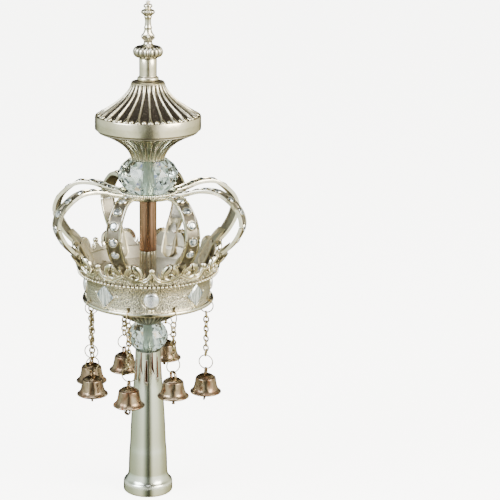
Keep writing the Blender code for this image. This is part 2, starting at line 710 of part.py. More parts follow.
def make_neck(material):
    """The smooth tube above the roof, with its base ring."""
    ring = NECK_Z + NECK_RING_HEIGHT
    top = NECK_Z + NECK_HEIGHT
    bulge = 0.3 * NECK_RING_HEIGHT
    outline = [(0.0, NECK_Z), (NECK_RING_RADIUS - 0.6 * MM, NECK_Z), (NECK_RING_RADIUS, NECK_Z + bulge),
               (NECK_RING_RADIUS, ring - bulge), (NECK_RADIUS, ring), (NECK_RADIUS, top), (0.0, top)]
    return make_node("neck", turned(outline, NECK_SIDES), material)


def make_spire(material):
    """The gadrooned knop and the faceted spire, which end in a small knop and two balls."""
    knop = [(0.0, KNOP_Z)]
    for step in range(7):
        turn = math.pi * step / 6
        width = NECK_RADIUS * 0.8 + (KNOP_RADIUS - NECK_RADIUS * 0.8) * math.sin(turn) ** 0.8
        knop.append((width, KNOP_Z + KNOP_HEIGHT * (0.5 - 0.5 * math.cos(turn))))
    knop.append((0.0, KNOP_Z + KNOP_HEIGHT))
    depths = [0.0, 0.0] + 5 * [KNOP_FLUTE_DEPTH] + [0.0, 0.0]
    base = KNOP_Z + KNOP_HEIGHT - 0.5 * MM
    top = KNOP_Z + KNOP_HEIGHT + SPIRE_HEIGHT
    shares = ((0.0, 4.6 * MM), (0.1, 0.95 * SPIRE_BULGE_RADIUS), (0.19, SPIRE_BULGE_RADIUS),
              (0.3, 0.66 * SPIRE_BULGE_RADIUS), (0.52, SPIRE_WAIST_RADIUS), (0.66, 1.25 * SPIRE_WAIST_RADIUS),
              (0.71, 0.75 * SPIRE_KNOP_RADIUS), (0.755, SPIRE_KNOP_RADIUS), (0.8, 0.75 * SPIRE_KNOP_RADIUS),
              (0.83, 0.5 * SPIRE_BALL_RADIUS),
              (0.87, SPIRE_BALL_RADIUS), (0.91, 0.55 * SPIRE_TIP_RADIUS), (0.955, SPIRE_TIP_RADIUS),
              (0.985, 0.6 * SPIRE_TIP_RADIUS))
    spire = [(0.0, base)] + [(radius, base + (top - base) * share) for share, radius in shares] + [(0.0, top)]
    ribbed = turned(knop, 2 * KNOP_FLUTES, KNOP_FLUTES, depths)
    casting = combined(ribbed, [turned(spire, SPIRE_SIDES)], "UNION")
    return make_node("spire", casting, material)


def link_reach():
    """How far a link's wire lies above the centre of the wire it hangs on, inner face on inner face."""
    return 2 * WIRE_RADIUS * math.cos(math.pi / WIRE_SIDES) - LINK_TOUCH


def ring_centre(azimuth):
    """The centre of the ring that hangs in a hole: its wire rests on the hole's lower edge."""
    wire = HOLE_Z - HOLE_RADIUS + WIRE_RADIUS + GAP
    return out(azimuth) * (BAND_WAIST_RADIUS - BAND_WALL / 2) + UP * (wire - RING_RADIUS)


def make_chain(name, azimuth, drop, links, material):
    """A ring in the hole, a chain of few-sided links turned by a quarter each, and the lower ring."""
    top = ring_centre(azimuth)
    ways = (out(azimuth), along(azimuth))
    pitch = (drop + link_reach()) / links
    tall = pitch + link_reach()
    loops = [wire_loop(top, ways[0], UP, RING_RADIUS, RING_RADIUS, RING_SIDES)]
    hook = top.z - RING_RADIUS + link_reach()
    for index in range(links):
        centre = Vector((top.x, top.y, hook - index * pitch - tall / 2))
        loops.append(wire_loop(centre, ways[(index + 1) % 2], UP, LINK_WIDTH / 2, tall / 2, LINK_SIDES))
    low = Vector((top.x, top.y, top.z - 2 * RING_RADIUS - drop))
    loops.append(wire_loop(low, ways[(links + 1) % 2], UP, RING_RADIUS, RING_RADIUS, RING_SIDES))
    return make_node(name, combined(loops[0], loops[1:], "UNION"), material)


def bell_outline(lip):
    """The bell's closed section: a flared lip, a waist and a domed top, with a thin wall."""
    shares = ((1.0, 0.0), (0.74, 0.22), (0.6, 0.56), (0.5, 0.88))
    outer = [(BELL_RADIUS * width, lip + BELL_HEIGHT * share) for width, share in shares]
    top = [(0.0, lip + BELL_HEIGHT), (0.0, lip + BELL_HEIGHT - BELL_WALL)]
    inner = [(radius - BELL_WALL, height - BELL_WALL * share)
             for (radius, height), (_, share) in zip(reversed(outer), reversed(shares))]
    return outer + top + inner[:1] + inner[2:]


def make_bell(name, azimuth, drop, links, material, dark):
    """A small flared bell with a strap loop on top and a thin clapper of its own inside."""
    top = ring_centre(azimuth)
    hang = top.z - 3 * RING_RADIUS - drop + 2 * WIRE_RADIUS + GAP
    crown = hang - BELL_LOOP_HEIGHT
    lip = crown - BELL_HEIGHT
    shell = turned(bell_outline(lip), BELL_SIDES, closed=True)
    wide = (out(azimuth), along(azimuth))[links % 2]
    across = wide.cross(UP)
    half = BELL_LOOP_WIDTH / 2
    strap = [(-half, -1.5 * BELL_WALL), (-0.7 * half, BELL_LOOP_HEIGHT), (0.7 * half, BELL_LOOP_HEIGHT),
             (half, -1.5 * BELL_WALL)]
    section = [(-WIRE_RADIUS, -WIRE_RADIUS), (WIRE_RADIUS, -WIRE_RADIUS), (WIRE_RADIUS, WIRE_RADIUS),
               (-WIRE_RADIUS, WIRE_RADIUS)]
    stations = []
    for index, (s, t) in enumerate(strap):
        before, after = strap[max(index - 1, 0)], strap[min(index + 1, len(strap) - 1)]
        run = (wide * (after[0] - before[0]) + UP * (after[1] - before[1])).normalized()
        stations.append((wide * s + UP * (crown + t), across, run.cross(across), 1.0))
    solid = combined(shell, [swept(stations, section)], "UNION")
    bmesh.ops.translate(solid, verts=solid.verts, vec=Vector((top.x, top.y, 0.0)))
    bell = make_node("bell_" + name, solid, material)
    ceiling = crown - BELL_WALL - GAP
    section = [(-CLAPPER_WIDTH / 2, -CLAPPER_THICKNESS / 2), (CLAPPER_WIDTH / 2, -CLAPPER_THICKNESS / 2),
               (CLAPPER_WIDTH / 2, CLAPPER_THICKNESS / 2), (-CLAPPER_WIDTH / 2, CLAPPER_THICKNESS / 2)]
    place = Vector((top.x, top.y, 0.0))
    stations = [(place + UP * ceiling, wide, across, 0.6), (place + UP * lip, wide, across, 0.8),
                (place + UP * (lip - CLAPPER_SHOW), wide, across, 1.2)]
    clapper = make_node("clapper_" + name, swept(stations, section), dark)
    return bell, clapper


def main():
    """Builds the finial from the foot up."""
    for thing in list(bpy.data.objects):
        bpy.data.objects.remove(thing)
    silver = finish("silver_plate", (0.66, 0.64, 0.56), 1.0, 0.28)
    copper = finish("copper_brown", (0.46, 0.30, 0.20), 1.0, 0.35)
    bronze = finish("aged_bell_metal", (0.48, 0.38, 0.29), 1.0, 0.36)
    crystal = finish("cut_crystal", (0.80, 0.86, 0.83), 0.0, 0.05)
    pale_stone = finish("pale_stone", (0.72, 0.78, 0.77), 0.0, 0.15)
    make_stem(silver)
    make_crystal("lower_crystal", LOWER_CRYSTAL_Z, LOWER_CRYSTAL_RADIUS, LOWER_CRYSTAL_HEIGHT, 0.66, crystal)
    make_dish(silver)
    make_crown_base(silver)
    make_crown_top(silver)
    make_column(silver)
    make_rod(copper)
    make_crystal("upper_crystal", UPPER_CRYSTAL_Z, UPPER_CRYSTAL_RADIUS, UPPER_CRYSTAL_HEIGHT, 0.62, crystal)
    make_trumpet(silver)
    make_roof(silver)
    make_neck(silver)
    make_spire(silver)
    for index, side in enumerate(("front", "right", "back", "left")):
        make_cabochon("cabochon_" + side, index * FULL_TURN / 4, pale_stone)
    for index, side in enumerate(("front_right", "back_right", "back_left", "front_left")):
        make_diamond("diamond_" + side, (index + 0.5) * FULL_TURN / 4, pale_stone)
    for name, azimuth, short, links in BELLS:
        make_chain("chain_" + name, azimuth, CHAIN_DROP - short, links, bronze)
        make_bell(name, azimuth, CHAIN_DROP - short, links, bronze, bronze)


main()
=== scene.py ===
# %% [markdown]
# # A crowned torah finial
#
# A torah finial is a silver ornament that goes over the tip of a scroll's staff. This one has a
# slotted tube for a stem, a jewelled crown with eight arches, two beads of cut crystal, a fluted
# pagoda roof and a spire, and small bells hang on chains from the crown's rim.
#
# The solids come packed in model.glb. They fix where every piece is and how large it is. This
# script makes the surface that the eye sees around them, one piece after another, with numpy.

# %% Load the frame
import json
import math

import bmesh
import bpy
import numpy as np
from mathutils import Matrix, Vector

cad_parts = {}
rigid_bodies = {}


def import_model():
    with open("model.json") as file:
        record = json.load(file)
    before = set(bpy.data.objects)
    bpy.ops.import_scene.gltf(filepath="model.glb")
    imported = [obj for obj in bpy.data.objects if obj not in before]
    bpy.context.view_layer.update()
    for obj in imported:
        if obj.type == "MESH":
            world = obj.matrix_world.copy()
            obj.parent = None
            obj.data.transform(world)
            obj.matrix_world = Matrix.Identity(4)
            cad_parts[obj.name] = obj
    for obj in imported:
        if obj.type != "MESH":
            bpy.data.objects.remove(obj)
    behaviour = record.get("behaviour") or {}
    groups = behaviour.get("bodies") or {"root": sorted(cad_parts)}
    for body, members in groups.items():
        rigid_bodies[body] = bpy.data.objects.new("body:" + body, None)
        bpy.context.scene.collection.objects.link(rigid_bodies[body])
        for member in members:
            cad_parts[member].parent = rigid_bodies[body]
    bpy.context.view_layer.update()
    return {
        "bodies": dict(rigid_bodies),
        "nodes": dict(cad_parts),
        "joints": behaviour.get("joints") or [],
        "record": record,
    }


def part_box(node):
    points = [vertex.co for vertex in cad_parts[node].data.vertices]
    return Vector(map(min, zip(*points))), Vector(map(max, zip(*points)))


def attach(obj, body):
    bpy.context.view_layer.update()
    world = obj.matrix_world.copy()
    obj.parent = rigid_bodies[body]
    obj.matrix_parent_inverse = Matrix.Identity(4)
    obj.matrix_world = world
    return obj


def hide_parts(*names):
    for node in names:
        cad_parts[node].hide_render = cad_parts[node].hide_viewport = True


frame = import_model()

# %% [markdown]
# ## Camera
#
# The picture was taken from a little above the crown with a long lens, so the axis stays almost
# upright. The camera looks at the middle of the finial and its shift puts the finial left of the
# middle of the frame, where the photograph has it.

# %% Camera
MM = 0.001
FULL_TURN = 2 * math.pi
CAMERA_AZIMUTH = math.radians(-3.0)
CAMERA_ELEVATION = math.radians(15.1)
CAMERA_DISTANCE = 1390 * MM
CAMERA_LENS = 126
CAMERA_SHIFT = (0.204, 0.008)
CAMERA_TARGET_HEIGHT = 200 * MM


def place_camera():
    """The camera stands at target + distance * back, where back points from the target to the lens."""
    back = Vector((math.sin(CAMERA_AZIMUTH) * math.cos(CAMERA_ELEVATION),
                      -math.cos(CAMERA_AZIMUTH) * math.cos(CAMERA_ELEVATION),
                      math.sin(CAMERA_ELEVATION)))
    camera = bpy.data.objects.new("camera", bpy.data.cameras.new("camera"))
    camera.data.lens = CAMERA_LENS
    camera.data.sensor_width = 36
    camera.data.shift_x, camera.data.shift_y = CAMERA_SHIFT
    camera.location = Vector((0, 0, CAMERA_TARGET_HEIGHT)) + back * CAMERA_DISTANCE
    camera.rotation_mode = "QUATERNION"
    camera.rotation_quaternion = (-back).to_track_quat("-Z", "Y")
    bpy.context.scene.collection.objects.link(camera)
    bpy.context.scene.camera = camera


place_camera()
print("camera looks down by", round(math.degrees(CAMERA_ELEVATION), 1), "degrees")

# %% [markdown]
# ## Two small helpers for node trees
#
# Colours are written as the hex values that a paint program shows. Blender computes with linear
# light, so one function turns them round. The other adds a node, sets its inputs and joins them.

# %% Colour and node helpers
def linear(hex_colour):
    """sRGB to linear light: c / 12.92 below 0.04045, and ((c + 0.055) / 1.055) ** 2.4 above it."""
    channels = np.array([int(hex_colour[index:index + 2], 16) for index in (1, 3, 5)]) / 255
    curved = np.where(channels <= 0.04045, channels / 12.92, ((channels + 0.055) / 1.055) ** 2.4)
    return (*(float(channel) for channel in curved), 1.0)


def add(tree, kind, inputs=None, **settings):
    """Adds a node. An input is given a plain value, or the socket that it is to be joined to."""
    node = tree.nodes.new(kind)
    for name, value in settings.items():
        setattr(node, name, value)
    for key, value in (inputs or {}).items():
        if isinstance(value, bpy.types.NodeSocket):
            tree.links.new(value, node.inputs[key])
        else:
            node.inputs[key].default_value = value
    return node


def ramp(tree, factor, *stops):
    """A colour ramp through (position, hex colour) stops."""
    node = add(tree, "ShaderNodeValToRGB", {"Fac": factor})
    elements = node.color_ramp.elements
    while len(elements) < len(stops):
        elements.new(0.5)
    for element, (position, colour) in zip(elements, stops):
        element.position = position
        element.color = linear(colour)
    return node.outputs["Color"]


print("mid grey in linear light is", round(linear("#808080")[0], 3))

# %% [markdown]
# ## Studio
#
# Silver shows what stands around it more than it shows itself. In the photograph every upright
# surface has a dark stripe in the middle, a bright field on each side of it and dark edges, and what
# faces down is tan. So the world holds those fields by direction: a ramp round the compass times a
# ramp from nadir to zenith. The pale floor catches the light and the shadows, but mirror rays pass it
# by, as if the finial were held up inside the light tent. Rays that have gone through the crystal see
# upright patches of bright, dark and a few colours instead, which is what makes cut glass sparkle.

# %% Floor, lights and world
FLOOR_SIZE = 16.0
FLOOR_COLOUR = "#F6F5F2"
FLOOR_GLOW = 7.0
WORLD_STRENGTH = 2.7
SPARKLE_STRENGTH = 2.7
COMPASS = ((0.0, "#1C1B18"), (0.08, "#262520"), (0.12, "#959D92"), (0.27, "#AEB5AA"), (0.4, "#E4E8E0"),
           (0.45, "#7F857B"), (0.485, "#34372F"), (0.515, "#2A2C25"), (0.54, "#8F8F80"), (0.58, "#FFFDF2"),
           (0.68, "#F2F0E2"), (0.76, "#BDBCA8"), (0.88, "#A09C86"), (0.92, "#2C2A22"), (1.0, "#1C1B18"))
HEIGHTS = ((0.0, "#8E8468"), (0.2, "#B2AA90"), (0.33, "#CAC5B0"), (0.39, "#DDE0D4"), (0.45, "#FFFFFF"),
           (0.7, "#FFFFFF"), (0.82, "#B8B8B0"), (0.92, "#66665F"), (1.0, "#43433E"))
SPARKLE = ((0.33, "#232B2A"), (0.41, "#8C988F"), (0.47, "#E6ECE6"), (0.53, "#FFFFFF"), (0.58, "#5F6D70"),
           (0.63, "#F4F6F2"), (0.68, "#5C6FA8"), (0.72, "#E8C9A0"))
SOFTBOXES = (("softbox_left", -62, 38, 1.5, 0.8, 30.0, "#F4F8FF"),
             ("softbox_right", 55, 30, 1.5, 0.8, 36.0, "#FFF6E6"),
             ("softbox_top", 10, 78, 1.4, 0.7, 7.0, "#FFFFFF"))


def place_floor():
    """A pale square, half its size to each side of the axis, that metal doesn't mirror."""
    mesh = bpy.data.meshes.new("floor")
    half = FLOOR_SIZE / 2
    corners = [(-half, -half, 0), (half, -half, 0), (half, half, 0), (-half, half, 0)]
    mesh.from_pydata(corners, [], [(0, 1, 2, 3)])
    floor = bpy.data.objects.new("floor", mesh)
    paint = bpy.data.materials.new("pale_matt_paper")
    paint.use_nodes = True
    shader = paint.node_tree.nodes["Principled BSDF"]
    shader.inputs["Base Color"].default_value = linear(FLOOR_COLOUR)
    shader.inputs["Roughness"].default_value = 0.9
    shader.inputs["Emission Color"].default_value = linear(FLOOR_COLOUR)
    shader.inputs["Emission Strength"].default_value = FLOOR_GLOW
    mesh.materials.append(paint)
    floor.visible_glossy = False
    floor.visible_transmission = False
    bpy.context.scene.collection.objects.link(floor)


def place_softboxes():
    """Square area lights that all look at the crown, each set by its azimuth, elevation and distance."""
    for name, azimuth, elevation, distance, size, power, colour in SOFTBOXES:
        azimuth, elevation = math.radians(azimuth), math.radians(elevation)
        away = Vector((math.sin(azimuth) * math.cos(elevation), -math.cos(azimuth) * math.cos(elevation),
                          math.sin(elevation)))
        light = bpy.data.objects.new(name, bpy.data.lights.new(name, "AREA"))
        light.data.size = size
        light.data.energy = power
        light.data.color = linear(colour)[:3]
        light.location = Vector((0, 0, CAMERA_TARGET_HEIGHT)) + away * distance
        light.rotation_euler = away.to_track_quat("Z", "Y").to_euler()
        bpy.context.scene.collection.objects.link(light)


def paint_world():
    """Colour by direction: compass ramp times height ramp. The camera itself sees an even pale grey."""
    world = bpy.data.worlds.new("light_tent")
    world.use_nodes = True
    tree = world.node_tree
    tree.nodes.clear()
    ways = add(tree, "ShaderNodeSeparateXYZ", {0: add(tree, "ShaderNodeTexCoord").outputs["Generated"]})
    back = add(tree, "ShaderNodeMath", {0: ways.outputs["Y"], 1: -1.0}, operation="MULTIPLY")
    turn = add(tree, "ShaderNodeMath", {0: ways.outputs["X"], 1: back.outputs[0]}, operation="ARCTAN2")
    place = add(tree, "ShaderNodeMapRange", {"Value": turn.outputs[0], "From Min": -math.pi,
                                             "From Max": math.pi})
    level = add(tree, "ShaderNodeMapRange", {"Value": ways.outputs["Z"], "From Min": -1.0,
                                             "From Max": 1.0})
    tent = add(tree, "ShaderNodeMix", {"Factor": 1.0, "A": ramp(tree, place.outputs[0], *COMPASS),
                                       "B": ramp(tree, level.outputs[0], *HEIGHTS)},
               data_type="RGBA", blend_type="MULTIPLY")
    seen = add(tree, "ShaderNodeBackground", {"Color": linear("#F2F1EE"), "Strength": 1.0})
    lit = add(tree, "ShaderNodeBackground", {"Color": tent.outputs["Result"], "Strength": WORLD_STRENGTH})
    drawn = add(tree, "ShaderNodeMapping", {"Vector": ways.inputs[0].links[0].from_socket,
                                            "Scale": (1.0, 1.0, 0.45)})
    patches = add(tree, "ShaderNodeTexNoise", {"Vector": drawn.outputs[0], "Scale": 7.0, "Detail": 1.0})
    sparkle = add(tree, "ShaderNodeBackground", {"Color": ramp(tree, patches.outputs["Fac"], *SPARKLE),
                                                 "Strength": SPARKLE_STRENGTH})
    path = add(tree, "ShaderNodeLightPath")
    through = add(tree, "ShaderNodeMixShader", {0: path.outputs["Is Transmission Ray"], 1: lit.outputs[0],
                                                2: sparkle.outputs[0]})
    both = add(tree, "ShaderNodeMixShader", {0: path.outputs["Is Camera Ray"], 1: through.outputs[0],
                                             2: seen.outputs[0]})
    add(tree, "ShaderNodeOutputWorld", {"Surface": both.outputs[0]})
    bpy.context.scene.world = world


place_floor()
place_softboxes()
paint_world()
print(len(SOFTBOXES), "softboxes round a floor of", FLOOR_SIZE, "m")

# %% [markdown]
# ## Shapes as arrays
#
# A shape here is three arrays: its points, its four-cornered faces, and a number from 0 to 1 for each
# point that says how deep in a recess it lies. Tarnish gathers there, and the finishes read it. Most
# shapes are a sheet, a grid of points whose rows and columns may close on themselves. A turned shape
# is a profile carried round the axis, a carried shape is an outline taken along a path, and copies of
# a small shape can be set in many places at once. All of it is worked out on whole arrays.
# On the round stones this number holds a painted dark reflection, and on the curls' slit roll a painted
# shade.

# %% Directions, sheets and copies
UP = np.array([0.0, 0.0, 1.0])
WELD = 0.004 * MM


def out(azimuth):
    """The level direction away from the axis: (sin a, -cos a, 0). Azimuth 0 is the front."""
    azimuth = np.asarray(azimuth, float)
    return np.stack([np.sin(azimuth), -np.cos(azimuth), np.zeros_like(azimuth)], -1)


def around(azimuth):
    """The level direction round the axis: (cos a, sin a, 0)."""
    azimuth = np.asarray(azimuth, float)
    return np.stack([np.cos(azimuth), np.sin(azimuth), np.zeros_like(azimuth)], -1)


def unit(vectors):
    """Each vector over its own length."""
    return vectors / np.maximum(np.linalg.norm(vectors, axis=-1, keepdims=True), 1e-12)


def sheet(points, recess=0.0, round_rows=False, round_columns=False):
    """A grid of points joined to its neighbours by faces, closed along rows or columns where asked."""
    rows, columns = points.shape[:2]
    i = np.arange(rows if round_rows else rows - 1)[:, None]
    j = np.arange(columns if round_columns else columns - 1)[None, :]
    below, beside = (i + 1) % rows, (j + 1) % columns
    corners = (i * columns + j, i * columns + beside, below * columns + beside, below * columns + j)
    quads = np.stack(np.broadcast_arrays(*corners), -1)
    return points.reshape(-1, 3), quads.reshape(-1, 4), np.broadcast_to(recess, (rows, columns)).ravel()


def joined(*shapes):
    """Several shapes as one: their faces count on from the points of those before."""
    starts = np.cumsum([0] + [len(shape[0]) for shape in shapes[:-1]])
    return (np.concatenate([shape[0] for shape in shapes]),
            np.concatenate([shape[1] + start for shape, start in zip(shapes, starts)]),
            np.concatenate([shape[2] for shape in shapes]))


def copies(shape, origins, axes):
    """A small shape set in many places: point = origin + axes times point, axes being 3 columns."""
    points, quads, recess = shape
    placed = origins[:, None, :] + np.einsum("nij,kj->nki", axes, points)
    starts = np.arange(len(origins))[:, None, None] * len(points)
    return placed.reshape(-1, 3), (quads[None] + starts).reshape(-1, 4), np.tile(recess, len(origins))


def axes_of(first, second, third):
    """Three arrays of directions as one array of 3 x 3 matrices with those columns."""
    return np.stack(np.broadcast_arrays(first, second, third), -1)


print("points closer than", round(1000 * WELD / MM), "micrometres become one")

# %% Curves, turned shapes and carried shapes
def spline(points, steps):
    """Catmull-Rom curve: in each span a cubic that passes its ends along their neighbours' chord."""
    points = np.asarray(points, float)
    ends = np.concatenate([points[:1], points, points[-1:]])
    a, b, c, d = (ends[shift:shift + len(points) - 1, None] for shift in range(4))
    t = (np.arange(steps) / steps)[None, :, None]
    curve = 0.5 * (2 * b + (c - a) * t + (2 * a - 5 * b + 4 * c - d) * t ** 2
                   + (3 * b - a - 3 * c + d) * t ** 3)
    return np.concatenate([curve.reshape(-1, points.shape[1]), points[-1:]])


def evenly(points, count):
    """A line's points set again at equal distances, read off its running length."""
    lengths = np.concatenate([[0], np.cumsum(np.linalg.norm(np.diff(points, axis=0), axis=1))])
    places = np.linspace(0, lengths[-1], count)
    return np.stack([np.interp(places, lengths, points[:, axis]) for axis in range(points.shape[1])], -1)


def turned(profile, sides, lift=0.0, recess=0.0):
    """A profile of (radius, height) carried round the axis, pushed along its outward normal by lift.

    The profile runs up the outside, so its normal is its slope turned right: (dz, -dr).
    """
    slope = np.gradient(profile, axis=0)
    normal = unit(np.stack([slope[:, 1], -slope[:, 0]], -1))
    lift = np.broadcast_to(lift, (len(profile), sides))
    radius = profile[:, 0, None] + normal[:, 0, None] * lift
    height = profile[:, 1, None] + normal[:, 1, None] * lift
    turn = np.arange(sides) * FULL_TURN / sides
    points = out(turn)[None] * np.maximum(radius, 0)[..., None] + UP * height[..., None]
    return sheet(points, recess, round_columns=True)


def carried(path, side, lift, section, size, recess=0.0, loop=False):
    """An outline of (s, t) carried along a path: place + size * (s * side + t * lift).

    Size is one number for each place, or two, for s and t. Both ends are closed by a ring of points
    that all lie in the middle, unless the path is a loop.
    """
    size = np.reshape(size, (len(path), 1, -1))
    rings = path[:, None] + (section[None, :, :1] * size[..., :1] * side[:, None]
                             + section[None, :, 1:] * size[..., -1:] * lift[:, None])
    if not loop:
        ends = [np.repeat(rings[end].mean(0)[None], len(section), 0)[None] for end in (0, -1)]
        rings = np.concatenate([ends[0], rings, ends[1]])
    return sheet(rings, recess, round_rows=loop, round_columns=True)


def circle(count, radius):
    """Points round a circle: (radius * cos a, radius * sin a)."""
    turn = np.arange(count) * FULL_TURN / count
    return np.stack([radius * np.cos(turn), radius * np.sin(turn)], -1)


def ball(radius, rows=6, columns=8, squash=1.0):
    """A small ball for beads: radius * (sin b cos a, sin b sin a, -squash * cos b), b from pole to pole."""
    rise = np.linspace(0, math.pi, rows + 1)[:, None]
    turn = (np.arange(columns) * FULL_TURN / columns)[None]
    points = np.stack(np.broadcast_arrays(np.sin(rise) * np.cos(turn), np.sin(rise) * np.sin(turn),
                                          -np.cos(rise) * squash), -1)
    return sheet(radius * points, round_columns=True)


def smooth_step(value, low, high):
    """0 below low, 1 above high, and 3 s^2 - 2 s^3 between them."""
    share = np.clip((value - low) / (high - low), 0, 1)
    return share * share * (3 - 2 * share)


print("a bead of 6 by 8 faces has", len(ball(MM)[0]), "points before its poles are welded")

# %% From arrays to a piece of the finial
def weld(solid):
    """Joins near points, drops faces without area, turns all faces outwards and counts open edges."""
    bmesh.ops.remove_doubles(solid, verts=solid.verts, dist=WELD)
    bmesh.ops.dissolve_degenerate(solid, edges=solid.edges, dist=WELD / 4)
    bmesh.ops.recalc_face_normals(solid, faces=solid.faces)
    return sum(len(edge.link_faces) != 2 for edge in solid.edges)


def make_piece(name, shape, finish, nodes, crease=35):
    """One piece of the finial, welded and closed. A face whose last two corners agree is a triangle."""
    points, quads, recess = shape
    mesh = bpy.data.meshes.new(name)
    mesh.vertices.add(len(points))
    mesh.vertices.foreach_set("co", np.ravel(points).astype(np.float32))
    kept = np.ones(quads.shape, bool)
    kept[:, 3] = quads[:, 3] != quads[:, 2]
    mesh.loops.add(int(kept.sum()))
    mesh.loops.foreach_set("vertex_index", quads[kept].astype(np.int32))
    mesh.polygons.add(len(quads))
    starts = np.concatenate([[0], np.cumsum(kept.sum(1))[:-1]])
    mesh.polygons.foreach_set("loop_start", starts.astype(np.int32))
    mesh.update(calc_edges=True)
    layer = mesh.attributes.new("recess", "FLOAT", "POINT")
    layer.data.foreach_set("value", np.clip(recess, 0, 1).astype(np.float32))
    solid = bmesh.new()
    solid.from_mesh(mesh)
    open_edges = weld(solid)
    solid.to_mesh(mesh)
    solid.free()
    mesh.shade_smooth()
    mesh.set_sharp_from_angle(angle=math.radians(crease))
    mesh.materials.append(finish)
    piece = bpy.data.objects.new(name, mesh)
    bpy.context.scene.collection.objects.link(piece)
    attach(piece, "root")
    if nodes:
        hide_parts(*nodes)
    print(name, len(mesh.polygons), "faces,", open_edges, "open edges")
    return piece


def levels(node):
    """A node's lowest and highest level in the frame."""
    low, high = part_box(node)
    return low.z, high.z


def reach(node):
    """How far a turned node reaches from the axis, read at its front."""
    return -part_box(node)[0].y


print("the stem's foot reaches", round(reach("stem") / MM, 2), "mm from the axis")

# %% [markdown]
# ## Finishes
#
# One recipe serves every metal of the finial. Its colour goes from a clean tone to a dull one in slow
# clouds of a few millimetres, and to a tarnished one where the recess number is high. Its roughness
# wanders too, and two sizes of bump make the soft dents of hammered plate and the grain of handling.
# Deep inside the stem's slots the crust is hardly metal any more, so the recipe can let the dirt take
# the mirror away as well. Worn edges need no pattern: the bevelled shapes catch the light themselves.

# %% Metal recipe
def metal(name, clean, dull, tarnish, roughness, dent=0.08, dent_size=6.0, grain=0.04, worn=0.35,
          cloud_size=14.0, stretch=1.0, crust=0.0):
    """Metal whose colour and roughness follow the recess number and clouds of tarnish.

    Colour = mix(mix(clean, dull, clouds), tarnish, dirt) and metallic = 1 - crust * dirt, where dirt is
    recess * (0.85 + 0.3 * specks). Sizes are in millimetres, and stretch draws the clouds out upwards
    into streaks.
    """
    material = bpy.data.materials.new(name)
    material.use_nodes = True
    tree = material.node_tree
    shader = tree.nodes["Principled BSDF"]
    place = add(tree, "ShaderNodeTexCoord").outputs["Object"]
    drawn = add(tree, "ShaderNodeMapping", {"Vector": place, "Scale": (1.0, 1.0, 1 / stretch)})
    clouds = add(tree, "ShaderNodeTexNoise", {"Vector": drawn.outputs[0], "Scale": 1 / (cloud_size * MM),
                                              "Detail": 4.0, "Roughness": 0.6})
    cloud = add(tree, "ShaderNodeMapRange", {"Value": clouds.outputs["Fac"], "From Min": 0.42,
                                             "From Max": 0.68, "To Max": worn})
    body = add(tree, "ShaderNodeMix", {"Factor": cloud.outputs["Result"], "A": linear(clean),
                                       "B": linear(dull)}, data_type="RGBA")
    specks = add(tree, "ShaderNodeTexNoise", {"Vector": place, "Scale": 1 / (1.3 * MM), "Detail": 3.0})
    recess = add(tree, "ShaderNodeAttribute", attribute_name="recess").outputs["Fac"]
    speckled = add(tree, "ShaderNodeMath", {0: specks.outputs["Fac"], 1: 0.3, 2: 0.85},
                   operation="MULTIPLY_ADD")
    dirt = add(tree, "ShaderNodeMath", {0: recess, 1: speckled.outputs[0]}, operation="MULTIPLY",
               use_clamp=True)
    # Where the recess number is full, as on the curls' slit roll, this tarnish colour is painted shade
    colour = add(tree, "ShaderNodeMix", {"Factor": dirt.outputs[0], "A": body.outputs["Result"],
                                         "B": linear(tarnish)}, data_type="RGBA")
    rough = add(tree, "ShaderNodeMath", {0: dirt.outputs[0], 1: 0.32, 2: roughness},
                operation="MULTIPLY_ADD", use_clamp=True)
    rough_cloud = add(tree, "ShaderNodeMath", {0: cloud.outputs["Result"], 1: 0.14, 2: rough.outputs[0]},
                      operation="MULTIPLY_ADD", use_clamp=True)
    swell = add(tree, "ShaderNodeTexNoise", {"Vector": place, "Scale": 1 / (dent_size * MM), "Detail": 1.0})
    soft = add(tree, "ShaderNodeBump", {"Height": swell.outputs["Fac"], "Strength": dent,
                                        "Distance": dent_size * MM})
    fine = add(tree, "ShaderNodeTexNoise", {"Vector": place, "Scale": 1 / (0.5 * MM), "Detail": 2.0})
    grained = add(tree, "ShaderNodeBump", {"Height": fine.outputs["Fac"], "Strength": grain,
                                           "Distance": 0.5 * MM, "Normal": soft.outputs["Normal"]})
    bare = add(tree, "ShaderNodeMath", {0: dirt.outputs[0], 1: -crust, 2: 1.0}, operation="MULTIPLY_ADD")
    for socket, source in (("Base Color", colour.outputs["Result"]), ("Roughness", rough_cloud.outputs[0]),
                           ("Metallic", bare.outputs[0]), ("Normal", grained.outputs["Normal"])):
        tree.links.new(source, shader.inputs[socket])
    return material


# %% The metals
# Old plate of the smooth tubes: a mirror gone soft, cooler than the crown
SMOOTH_PLATE = metal("polished_silver_plate", "#EBF0E5", "#DCE2D6", "#7A5638", 0.2, dent=0.004, grain=0.002,
                     stretch=6.0, crust=0.8)
# The cast crown, whose low places have gone olive and brown
CAST_PLATE = metal("cast_silver_plate", "#F6F1DF", "#DDD2B0", "#3A2E1C", 0.12, dent=0.05, grain=0.04)
# The pebbled ground of the band, which scatters what the smooth casting mirrors
PEBBLED_PLATE = metal("pebbled_silver_plate", "#FAF4E2", "#E8DFC4", "#3E3422", 0.2, dent=0.01, grain=0.03)
# The matt backs of the arch feet, which show the open inside of the crown as one soft pale tone
INNER_PLATE = metal("matt_inner_silver_plate", "#DAD1B4", "#C2B894", "#4A4030", 0.42, dent=0.02)
# Fluted sheet of roof, trumpet and dish: duller, brown between the ribs
FLUTED_PLATE = metal("fluted_silver_plate", "#F0E8CE", "#D3C9AA", "#37322B", 0.22, dent=0.03)
# The rod between crown and roof, where the plate has worn through to copper
WORN_COPPER = metal("worn_copper_rod", "#BF977B", "#35291F", "#3A2E26", 0.2, dent=0.02, worn=1.0,
                    cloud_size=2.4, stretch=40.0)
